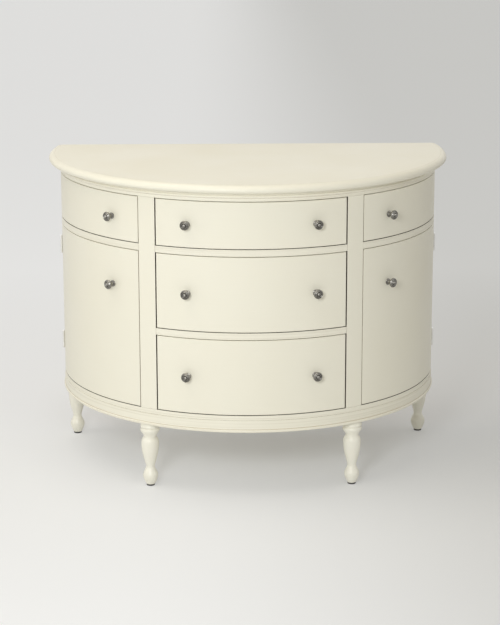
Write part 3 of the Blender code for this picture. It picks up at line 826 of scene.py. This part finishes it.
@kept_as("cream_paint_{}")
def paint(nodes, finish):
    """Cream paint with brown glaze and painted shade in the grooves, and painted shade in the
    joints: brushed, framed or lined.
    """
    colours = bpy.context.scene.chest_colours
    lined = finish == "lined"
    cycles, line_strength, deep, most, least = LINED if lined else BRUSHED
    unrolled = nodes.add("ShaderNodeUVMap", {"uv_map": "Unrolled"})["UV"]
    patches = nodes.noise(CLOUDED, cycles=5.0)
    strokes = nodes.noise(BROKEN, cycles, unrolled)
    grit = nodes.noise(SPECKLED, cycles=260.0)

    tone = nodes.tinted(colours.paint, colours.paint_worn, patches, low=0.35, high=0.70, most=0.30)
    line_tone = colours.glaze if lined else colours.paint_worn
    tone = nodes.tinted(tone, line_tone, strokes, low=0.48, high=0.75, most=line_strength)
    # Brown glaze in the hollows, partly painted shade in the creases and beside the bead
    broken = nodes.ranged(patches, low=0.30, high=0.65, to_low=least)
    hollow_darkening = nodes.product(nodes.hollows(deep, shallow=-0.03, most=most), broken)
    tone = nodes.blended(hollow_darkening, tone, colours.glaze)
    rim = nodes.ranged(nodes.attribute("crease"), low=0.16, high=0.50)
    rubbed = nodes.ranged(grit, low=0.46, high=0.60, to_high=0.10)
    tone = nodes.blended(nodes.product(rim, rubbed), tone, colours.glaze)
    # Painted shade in the gaps: brown on the brushed fronts' cheeks, near black on framed and
    # lined pieces
    inside = colours.glaze if finish == "brushed" else colours.painted_gap_shade
    tone = nodes.blended(gap_shade_mask(nodes, lined), tone, inside)

    brushed = nodes.bumped(strokes, strength=0.16, distance=0.0004)
    bump = nodes.bumped(grit, strength=0.05, distance=0.0002, under=brushed)
    nodes.coat("paint", tone, patches, bump, IOR=PAINT_IOR)


@kept_as("bare_wood_{}")
def bare_wood(nodes, grain):
    """Bare pale wood with its grain across, deep or upright."""
    colours = bpy.context.scene.chest_colours

    def fibres(kind, along, athwart):
        return nodes.noise(kind, tuple(along if axis == grain else athwart for axis in GRAINS))

    fine_grain = fibres(FIBROUS, along=5.0, athwart=160.0)
    bands = fibres(SMOOTH, along=1.2, athwart=22.0)
    pores = fibres(SMOOTH, along=16.0, athwart=520.0)
    tone = nodes.tinted(colours.wood, colours.wood_dark, bands, low=0.30, high=0.72, most=0.75)
    tone = nodes.tinted(tone, colours.wood_dark, fine_grain, low=0.50, high=0.78, most=0.80)
    bump = nodes.bumped(fine_grain, strength=0.25, distance=0.0004)
    bump = nodes.bumped(pores, strength=0.12, distance=0.0002, under=bump)
    nodes.coat("wood", tone, fine_grain, bump)


@kept_as("pewter_patina")
def pewter(nodes):
    """Dark cast metal with patina in its grooves."""
    colours = bpy.context.scene.chest_colours
    mottle = nodes.noise(BROKEN, cycles=420.0)
    tone = nodes.tinted(colours.pewter, colours.pewter_dark, mottle, low=0.48, high=0.70,
                        most=0.55)
    hollow_darkening = nodes.hollows(deep=-0.30, shallow=0.02, most=1.0)
    tone = nodes.blended(hollow_darkening, tone, colours.pewter_dark)
    bump = nodes.bumped(mottle, strength=0.20, distance=0.0002)
    nodes.coat("pewter", tone, mottle, bump, Metallic=METAL)


@kept_as("satin_steel")
def steel(nodes):
    """Plain satin steel with fine upright lines."""
    colours = bpy.context.scene.chest_colours
    lines = nodes.noise(CLOUDED, cycles=(900.0, 900.0, 30.0))
    smudges = nodes.noise(SMOOTH, cycles=60.0)
    tone = nodes.tinted(colours.steel, colours.steel_dull, smudges, low=0.35, high=0.70, most=0.60)
    bump = nodes.bumped(lines, strength=0.10, distance=0.0001)
    nodes.coat("steel", tone, lines, bump, Metallic=METAL)


@kept_as("dark_moulded_plastic")
def plastic(nodes):
    """Dark moulded plastic of the glides."""
    colours = bpy.context.scene.chest_colours
    grain = nodes.noise(SPECKLED, cycles=700.0)
    tone = nodes.tinted(colours.plastic, colours.plastic_pale, grain, low=0.45, high=0.75,
                        most=0.50)
    bump = nodes.bumped(grain, strength=0.15, distance=0.0001)
    nodes.coat("plastic", tone, grain, bump)


@kept_as("studio_floor")
def studio_floor(nodes, studio):
    """Matt pale floor that keeps its shadows, with painted light: a glow seen by the camera,
    brighter left, fading beneath the chest into a painted shadow.
    """
    drift = nodes.noise(SMOOTH, cycles=0.5)
    tone = nodes.blended(drift, studio.floor_colour, studio.floor_shade)
    nodes.plug(nodes.shader, {"Base Color": tone, "Roughness": FLOOR_ROUGHNESS,
                              "Specular IOR Level": FLOOR_SPECULAR})

    # Painted light: the glow falls off from left to right and behind, as the lamps' light would
    apart = nodes.add("ShaderNodeSeparateXYZ", sockets={"Vector": nodes.place})
    across = nodes.ranged(apart["X"], studio.glow_bright_x, studio.glow_dim_x,
                          easing="SMOOTHSTEP")
    depth = nodes.ranged(apart["Y"], studio.glow_start, studio.glow_end)
    near = nodes.blended(across, studio.glow_left, studio.glow_right)
    far = nodes.blended(across, studio.glow_far_left, studio.glow_far_right)
    glow = nodes.add("ShaderNodeEmission", sockets={"Color": nodes.blended(depth, near, far)})
    # Painted shadow: less glow near the chest, so the shadow beneath it stays deep
    distance = nodes.add("ShaderNodeVectorMath", {"operation": "DISTANCE"},
                         {0: nodes.place, 1: (0.0, studio.glow_middle_y, 0.0)})["Value"]
    open_share = nodes.ranged(distance, studio.glow_under_reach, studio.glow_open_reach,
                              studio.glow_under_share, studio.glow_share, "SMOOTHSTEP")
    seen = nodes.seen_rays()
    share = nodes.product(seen, nodes.ranged(depth, low=0.0, high=1.0, to_low=open_share,
                                             to_high=studio.glow_far_share))
    nodes.chosen_surface("Material Output", share, nodes.shader.outputs[0], glow[0])


class CHEST_OT_top_board(bpy.types.Operator):
    """Make the half-round top with its rounded edge"""

    bl_idname = "chest.top_board"
    bl_label = "Top board"

    def execute(self, context):
        sizes = context.scene.chest_sizes
        low, high = levels("top_board")
        middle = high - sizes.nose_upper_drop
        upper_start = TOP_RADIUS - sizes.nose_upper_run
        upper = quarter(upper_start, middle, sizes.nose_upper_run,
                        sizes.nose_upper_drop - sizes.nose_step_drop, QUARTER_TURN, 0.0,
                        NOSE_STEPS)
        lower = quarter(TOP_RADIUS - sizes.nose_lower_run, middle, sizes.nose_lower_run,
                        middle - low, 0.0, -QUARTER_TURN, BEAD_STEPS)
        step = (upper_start - sizes.nose_step_run, high)
        profile = [(0.0, high), step] + upper + lower[1:] + [(0.0, low)]
        painted("top_board", half_round(profile, False, sizes), "carcase", sizes.edge_round)
        return {"FINISHED"}


class CHEST_OT_top_rail(bpy.types.Operator):
    """Make the rail under the top with its bead"""

    bl_idname = "chest.top_rail"
    bl_label = "Top rail"

    def execute(self, context):
        sizes = context.scene.chest_sizes
        low, high = levels("top_rail")
        inner = BODY_RADIUS - sizes.stile_depth
        fillet = BODY_RADIUS + sizes.fillet_bulge
        bead_low = low + sizes.bead_lift
        bead_high = bead_low + sizes.bead_height
        profile = [(inner, low), (BODY_RADIUS, low), (BODY_RADIUS, bead_low - sizes.shade_band)]
        profile += bead(BODY_RADIUS, bead_low, sizes.bead_bulge, sizes.bead_height)[:-1]
        profile += [(fillet, bead_high), (fillet, bead_high + sizes.shade_band), (fillet, high),
                    (inner, high)]
        mesh = rabbet(half_round(profile, True, sizes), sizes)
        painted("top_rail", mesh, "carcase", sizes.fine_round, "lined")
        return {"FINISHED"}


class CHEST_OT_base_moulding(bpy.types.Operator):
    """Make the curved base with its rounded lip"""

    bl_idname = "chest.base_moulding"
    bl_label = "Base moulding"

    def execute(self, context):
        sizes = context.scene.chest_sizes
        low, high = levels("base_moulding")
        face = BODY_RADIUS + sizes.base_bulge
        inner = BODY_RADIUS - sizes.base_depth
        lip = bead(face, low, sizes.lip_bulge - sizes.base_bulge, sizes.lip_height)
        lip.append((face, low + sizes.lip_height + sizes.shade_band))
        profile = [(inner, low)] + lip + [(face, high), (inner, high)]
        mesh = rabbet(half_round(profile, True, sizes), sizes)
        painted("base_moulding", mesh, "carcase", sizes.fine_round, "lined")
        return {"FINISHED"}


class CHEST_OT_boards(bpy.types.Operator):
    """Make the bottom board, the dust boards and the cupboard tops"""

    bl_idname = "chest.boards"
    bl_label = "Boards"

    def execute(self, context):
        sizes = context.scene.chest_sizes
        x, y = rabbet_corner(sizes)
        end = angle_at_y(BODY_RADIUS, BACK_Y)
        outline = [(BODY_RADIUS, -end, end), (x, BACK_Y), (x, y), (-x, y), (-x, BACK_Y)]
        case_board("bottom_board", outline, 1, sizes, "lined")
        for node in ("lower_dust_board", "upper_dust_board"):
            self.dust_board(node, sizes)
        for side, word in SIDES:
            self.cupboard_top(word, side, sizes)
        return {"FINISHED"}

    def dust_board(self, node, sizes):
        """A board between two drawers, painted at its front and bare behind."""
        low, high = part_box(node)
        turn = angle_at_x(BODY_RADIUS, high.x)
        outline = [(BODY_RADIUS, -turn, turn), (high.x, high.y), (low.x, high.y)]
        mesh = soften(plate(node, outline, sizes), sizes.fine_round)
        seam = low.y + sizes.painted_depth
        slit(mesh, (0.0, seam, 0.0), BACK)
        for face in mesh.faces:
            face.material_index = int(face.calc_center_median().y > seam)
        finished(node + "_fine", mesh, [paint("lined"), bare_wood("across")], "carcase",
                 "cream_paint", node)

    def cupboard_top(self, word, side, sizes):
        """The board over a cupboard, round the back post."""
        node = word + "_cupboard_top"
        post = word + "_back_post"
        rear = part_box(node)[1].y
        inner = nearest_x(node)
        post_x = nearest_x(post) - sizes.seat_gap
        post_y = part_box(post)[0].y - sizes.seat_gap
        start = sizes.stile_angle + sizes.seat_gap / (BODY_RADIUS - sizes.stile_depth)
        outline = [(BODY_RADIUS, start, angle_at_y(BODY_RADIUS, post_y)), (post_x, post_y),
                   (post_x, rear), (inner, rear), (inner, CENTRE_Y - inner / math.tan(start))]
        case_board(node, outline, side, sizes, "lined")


class CHEST_OT_uprights(bpy.types.Operator):
    """Make the stiles, the back posts and the partitions"""

    bl_idname = "chest.uprights"
    bl_label = "Uprights"

    def execute(self, context):
        sizes = context.scene.chest_sizes
        x, y = rabbet_corner(sizes)
        inner = BODY_RADIUS - sizes.stile_depth
        for side, word in SIDES:
            inner_x = nearest_x(f"{word}_stile")
            outline = [(BODY_RADIUS, angle_at_x(BODY_RADIUS, inner_x), sizes.stile_angle),
                       (inner, sizes.stile_angle, angle_at_x(inner, inner_x))]
            case_board(f"{word}_stile", outline, side, sizes, "framed")

            inner_x = nearest_x(f"{word}_back_post")
            front_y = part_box(f"{word}_back_post")[0].y
            outline = [(BODY_RADIUS, angle_at_y(BODY_RADIUS, front_y),
                        angle_at_y(BODY_RADIUS, BACK_Y)),
                       (x, BACK_Y), (x, y), (inner_x, y), (inner_x, front_y)]
            case_board(f"{word}_back_post", outline, side, sizes, "framed")

            mesh = frame_shape(f"{word}_partition")
            wooden(f"{word}_partition", mesh, "carcase", "deep", sizes.fine_round)
        return {"FINISHED"}


class CHEST_OT_back_panel(bpy.types.Operator):
    """Make the back panel with the brads that hold it"""

    bl_idname = "chest.back_panel"
    bl_label = "Back panel"

    def execute(self, context):
        sizes = context.scene.chest_sizes
        face_y = PANEL_HIGH.y - sizes.seat_gap
        mesh = block(PANEL_LOW, (PANEL_HIGH.x, face_y, PANEL_HIGH.z))
        wooden("back_panel", mesh, "carcase", "across", sizes.fine_round)

        profile = [(0.0, 0.0), (sizes.brad_radius, 0.0),
                   dome_bend(sizes.brad_radius, sizes.seat_gap, BRAD_DOME_SHARES),
                   (0.0, sizes.seat_gap)]
        turning = Matrix.Rotation(-QUARTER_TURN, 3, "X")
        brads = [moved(turned(profile, BRAD_STEPS), (x, face_y, z), turning)
                 for x, z in self.places(sizes)]
        finished("back_panel_brads", joined(brads), [steel()], "carcase", "steel")
        return {"FINISHED"}

    def places(self, sizes):
        """Places of the brads along the panel's edges and the partitions behind it."""
        low_z = levels("base_moulding")[0] + sizes.brad_inset
        high_z = PANEL_HIGH.z - sizes.brad_inset
        edge_x = PANEL_HIGH.x - sizes.brad_inset
        partition_x = sum(corner.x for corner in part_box("right_partition")) / 2
        across = round(2 * edge_x / sizes.brad_spacing)
        up = round((high_z - low_z) / sizes.brad_spacing)
        rows = [(-edge_x + 2 * edge_x * step / across, z) for z in (low_z, high_z)
                for step in range(across + 1)]
        columns = [(x, low_z + (high_z - low_z) * step / up)
                   for x in (-edge_x, -partition_x, partition_x, edge_x)
                   for step in range(1, up)]
        return rows + columns


class CHEST_OT_middle_drawers(bpy.types.Operator):
    """Make the three middle drawers"""

    bl_idname = "chest.middle_drawers"
    bl_label = "Middle drawers"

    def execute(self, context):
        sizes = context.scene.chest_sizes
        for name in MIDDLE_DRAWERS:
            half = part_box(f"{name}_front")[1].x
            reach = angle_at_x(BODY_RADIUS - sizes.front_thickness, half) + OVERRUN
            mesh = curved_front(f"{name}_front", -reach, reach, sizes)
            for side, _ in SIDES[::-1]:
                cut(mesh, (side * half, 0.0, 0.0), (side, 0.0, 0.0))
            painted(f"{name}_front", mesh, name, sizes.edge_round)
            self.box(name, sizes)
            rewood(f"{name}_bottom", "across")
        return {"FINISHED"}

    def box(self, name, sizes):
        """Two sides and a back, glued up behind a drawer's front."""
        node = f"{name}_box"
        low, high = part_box(node)
        front = BODY_RADIUS - sizes.front_thickness - sizes.seat_gap
        inner = high.x - sizes.box_wall
        outline = [(high.x, curve_front(front, high.x)), (high.x, high.y), (inner, high.y),
                   (inner, curve_front(front, inner))]
        boards = [plate(node, mirrored(outline, side), sizes) for side, _ in SIDES]
        boards.append(block((-inner, high.y - sizes.box_wall, low.z), (inner, high.y, high.z)))
        shape = joined([soften(board, sizes.edge_round) for board in boards])
        fine(node, shape, bare_wood("deep"), name, "bare_wood")


class CHEST_OT_side_drawers(bpy.types.Operator):
    """Make the side drawers that swing on a rod"""

    bl_idname = "chest.side_drawers"
    bl_label = "Side drawers"

    def execute(self, context):
        sizes = context.scene.chest_sizes
        steps = context.scene.chest_turned.knob_steps
        for side, word in SIDES:
            name = f"{word}_side_drawer"
            mesh = side_front(f"{name}_front", side, sizes)
            painted(f"{name}_front", mesh, name, sizes.edge_round)
            wooden(f"{name}_tray", frame_shape(f"{name}_tray"), name, "deep", sizes.edge_round)
            rewood(f"{name}_bottom", "deep")
            mesh = standing_bar(f"{name}_rod", steps, sizes.fine_round)
            fine(f"{name}_rod", mesh, steel(), "carcase", "steel")
        return {"FINISHED"}


def side_front(node, side, sizes):
    """A curved front from the stile to the back post, for a door or a side drawer."""
    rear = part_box(node)[1].y
    start = sizes.stile_angle + sizes.front_reveal / BODY_RADIUS
    end = angle_at_y(BODY_RADIUS, rear) + OVERRUN
    mesh = curved_front(node, side * start, side * end, sizes)
    return cut(mesh, (0.0, rear, 0.0), BACK)


class CHEST_OT_doors(bpy.types.Operator):
    """Make the curved cupboard doors"""

    bl_idname = "chest.doors"
    bl_label = "Doors"

    def execute(self, context):
        sizes = context.scene.chest_sizes
        for side, word in SIDES:
            node = f"{word}_door"
            painted(node, side_front(node, side, sizes), f"{word}_door_leaf", sizes.edge_round)
        return {"FINISHED"}


class CHEST_OT_hinges(bpy.types.Operator):
    """Make the butt hinges with their leaves, knuckles, pins and screws"""

    bl_idname = "chest.hinges"
    bl_label = "Hinges"

    def execute(self, context):
        hinge = context.scene.chest_hinges
        gap = context.scene.chest_sizes.seat_gap
        for side, word in SIDES:
            for level in ("upper", "lower"):
                node = f"{word}_door_{level}"
                self.leaf(f"{node}_frame_leaf", side, "carcase", 1, hinge, gap)
                self.leaf(f"{node}_door_leaf", side, f"{word}_door_leaf", -1, hinge, gap)
        return {"FINISHED"}

    def leaf(self, node, side, body, facing, hinge, gap):
        """One leaf: the post's has the outer knuckles and the pin, the door's the middle one."""
        low, high = levels(node)
        far_x = nearest_x(node)
        pin_x = max(abs(corner.x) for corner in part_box(node)) - hinge.knuckle_radius
        near_x = pin_x - hinge.knuckle_radius * TONGUE_SHARE
        wing_x = pin_x - hinge.knuckle_radius - gap
        face_y = CENTRE_Y + facing * gap
        knuckle = (high - low) / KNUCKLES
        middle = (low + knuckle, high - knuckle)
        outer = ((low, middle[0] - gap), (middle[1] + gap, high))
        spans = outer if facing > 0 else (middle,)

        tongues = []
        for start, end in spans:
            tongues += [(wing_x, start), (near_x, start), (near_x, end), (wing_x, end)]
        if facing < 0:
            tongues = [(wing_x, low)] + tongues + [(wing_x, high)]
        outline = [(far_x, low)] + tongues + [(far_x, high)]
        wing = bmesh.new()
        thickened(wing, [wing.verts.new((side * x, face_y, z)) for x, z in outline],
                  (0.0, facing * hinge.leaf_thickness, 0.0))
        shapes = [soften(wing, hinge.rounding)]
        for start, end in spans:
            barrel = bar(hinge.knuckle_radius, start, end, hinge.steps, hinge.rounding)
            shapes.append(moved(barrel, (side * pin_x, CENTRE_Y, 0.0)))
        if facing > 0:
            shapes.append(moved(self.pin(low, high, hinge), (side * pin_x, CENTRE_Y, 0.0)))
        turning = Matrix.Rotation(facing * QUARTER_TURN, 3, "X")
        for share in SCREW_SHARES:
            place = (side * (far_x + wing_x) / 2, face_y, low + share * (high - low))
            shapes.append(moved(self.screw(hinge), place, turning))
        fine(node, joined(shapes), steel(), body, "steel")

    def pin(self, low, high, hinge):
        """The pin through the knuckles, with a low round cap at each end."""
        cap = hinge.rounding * 2
        width, rise = dome_bend(hinge.pin_radius, cap, PIN_DOME_SHARES)
        profile = [(0.0, low - cap), (width, low - rise), (hinge.pin_radius, low),
                   (hinge.pin_radius, high), (width, high + rise), (0.0, high + cap)]
        return turned(profile, hinge.steps)

    def screw(self, hinge):
        """The low round head of a screw in a leaf."""
        radius, rise = hinge.screw_radius, hinge.screw_rise
        profile = [(0.0, -rise), (radius, -rise), (radius, 0.0),
                   dome_bend(radius, rise, SCREW_DOME_SHARES), (0.0, rise)]
        return turned(profile, SCREW_STEPS)


class CHEST_OT_knobs(bpy.types.Operator):
    """Make the turned knobs"""

    bl_idname = "chest.knobs"
    bl_label = "Knobs"

    def execute(self, context):
        turn = context.scene.chest_turned
        radius = BODY_RADIUS + context.scene.chest_sizes.seat_gap
        curve = smoothed(KNOB_SHARES, turn.knob_radius, turn.knob_length, KNOB_CURVE_STEPS)
        for side, word in SIDES:
            knobs = [(f"{name}_{word}", name, turn.middle_angle) for name in MIDDLE_DRAWERS]
            knobs += [(f"{word}_side_drawer", f"{word}_side_drawer", turn.side_angle),
                      (f"{word}_door", f"{word}_door_leaf", turn.side_angle)]
            for name, body, angle in knobs:
                turning = (Matrix.Rotation(side * angle, 3, "Z")
                           @ Matrix.Rotation(QUARTER_TURN, 3, "X"))
                place = plan_point(radius, side * angle, sum(levels(f"{name}_knob")) / 2)
                mesh = moved(turned([(0.0, 0.0)] + curve, turn.knob_steps), place, turning)
                fine(f"{name}_knob", mesh, pewter(), body, "dark_pewter")
        return {"FINISHED"}


class CHEST_OT_legs(bpy.types.Operator):
    """Make the turned legs and their glides"""

    bl_idname = "chest.legs"
    bl_label = "Legs"

    def execute(self, context):
        turn = context.scene.chest_turned
        for row in ("front", "back"):
            for _, word in SIDES:
                node = f"{row}_{word}_leg"
                low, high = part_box(node)
                height = high.z - low.z
                curve = smoothed(LEG_SHARES, turn.leg_radius, height, LEG_CURVE_STEPS)
                mesh = turned([(0.0, 0.0)] + curve + [(0.0, height)], turn.leg_steps)
                moved(mesh, ((low.x + high.x) / 2, (low.y + high.y) / 2, low.z))
                fine(node, mesh, leg_paint(), "carcase", "cream_paint")
                node = f"{row}_{word}_glide"
                mesh = standing_bar(node, turn.leg_steps, turn.glide_rim)
                fine(node, mesh, plastic(), "carcase", "dark_plastic")
        return {"FINISHED"}


class CHEST_OT_studio(bpy.types.Operator):
    """Set up the floor, the lamps and the camera"""

    bl_idname = "chest.studio"
    bl_label = "Studio"

    def execute(self, context):
        studio = context.scene.chest_studio
        self.floor(studio)
        self.world(context.scene, studio)
        for word in ("front", "side", "high"):
            self.lamp(word, studio)
        self.camera(context.scene, studio)
        context.scene.view_settings.view_transform = "Standard"
        return {"FINISHED"}

    def floor(self, studio):
        """A wide flat floor under the glides."""
        mesh = bmesh.new()
        bmesh.ops.create_grid(mesh, x_segments=FLOOR_CELLS, y_segments=FLOOR_CELLS,
                              size=studio.floor_size / 2)
        data = mesh_data("studio_floor", mesh)
        data.materials.append(studio_floor(studio))
        floor = shown("studio_floor", data)
        floor.location.z = -studio.floor_drop

    def world(self, scene, studio):
        """Even light from all round, and a pale backdrop for what sees or mirrors it."""
        world = bpy.data.worlds.new("studio_world")
        nodes = NodeBench(world)
        light = nodes.tree.nodes["Background"]
        nodes.plug(light, {"Color": studio.world_colour, "Strength": studio.world_light})
        backdrop = nodes.add("ShaderNodeBackground",
                             sockets={"Color": studio.backdrop_colour,
                                      "Strength": studio.backdrop_light})
        nodes.chosen_surface("World Output", nodes.seen_rays(), light.outputs[0], backdrop[0])
        scene.world = world

    def lamp(self, word, studio):
        """A square soft lamp turned toward the chest."""
        data = bpy.data.lights.new(word + "_lamp", "AREA")
        data.shape = "SQUARE"
        data.size = getattr(studio, word + "_size")
        data.energy = getattr(studio, word + "_power")
        data.color = getattr(studio, word + "_colour")
        lamp = shown(word + "_lamp", data)
        lamp.location = getattr(studio, word + "_place")
        toward = Vector((0.0, 0.0, TOP_HIGH.z / 2)) - lamp.location
        lamp.rotation_euler = toward.to_track_quat("-Z", "Y").to_euler()

    def camera(self, scene, studio):
        """The camera at the photograph's place."""
        data = bpy.data.cameras.new("camera")
        data.sensor_width = SENSOR_WIDTH
        data.lens = studio.camera_lens
        data.clip_end = studio.floor_size
        camera = shown("camera", data)
        camera.location = studio.camera_place
        turning = (Matrix.Rotation(-studio.camera_yaw, 3, "Z")
                   @ Matrix.Rotation(QUARTER_TURN - studio.camera_pitch, 3, "X")
                   @ Matrix.Rotation(studio.camera_roll, 3, "Z"))
        camera.rotation_euler = turning.to_euler()
        scene.camera = camera


OPERATORS = (
    CHEST_OT_top_board,
    CHEST_OT_top_rail,
    CHEST_OT_base_moulding,
    CHEST_OT_boards,
    CHEST_OT_uprights,
    CHEST_OT_back_panel,
    CHEST_OT_middle_drawers,
    CHEST_OT_side_drawers,
    CHEST_OT_doors,
    CHEST_OT_hinges,
    CHEST_OT_knobs,
    CHEST_OT_legs,
    CHEST_OT_studio,
)
GROUPS = {
    "chest_sizes": ChestSizes,
    "chest_turned": TurnedSizes,
    "chest_hinges": HingeSizes,
    "chest_colours": ChestColours,
    "chest_studio": StudioSettings,
}


class CHEST_PT_pieces(bpy.types.Panel):
    """Buttons and values for the chest"""

    bl_idname = "CHEST_PT_pieces"
    bl_label = "Chest of drawers"
    bl_space_type = "VIEW_3D"
    bl_region_type = "UI"
    bl_category = "Chest"

    def draw(self, context):
        for operator in OPERATORS:
            self.layout.operator(operator.bl_idname)
        for name in GROUPS:
            group = getattr(context.scene, name)
            box = self.layout.box()
            for key in group.__annotations__:
                box.prop(group, key)


def register():
    """Register the values, the operators and the panel."""
    for name, group in GROUPS.items():
        bpy.utils.register_class(group)
        setattr(bpy.types.Scene, name, PointerProperty(type=group))
    for operator in OPERATORS:
        bpy.utils.register_class(operator)
    bpy.utils.register_class(CHEST_PT_pieces)


def unregister():
    """Take the add-on out again."""
    bpy.utils.unregister_class(CHEST_PT_pieces)
    for operator in reversed(OPERATORS):
        bpy.utils.unregister_class(operator)
    for name, group in reversed(GROUPS.items()):
        delattr(bpy.types.Scene, name)
        bpy.utils.unregister_class(group)


def main():
    """Build the chest and its studio."""
    register()
    for operator in OPERATORS:
        name = operator.bl_idname.split(".")[1]
        getattr(bpy.ops.chest, name)()


if __name__ == "__main__":
    main()
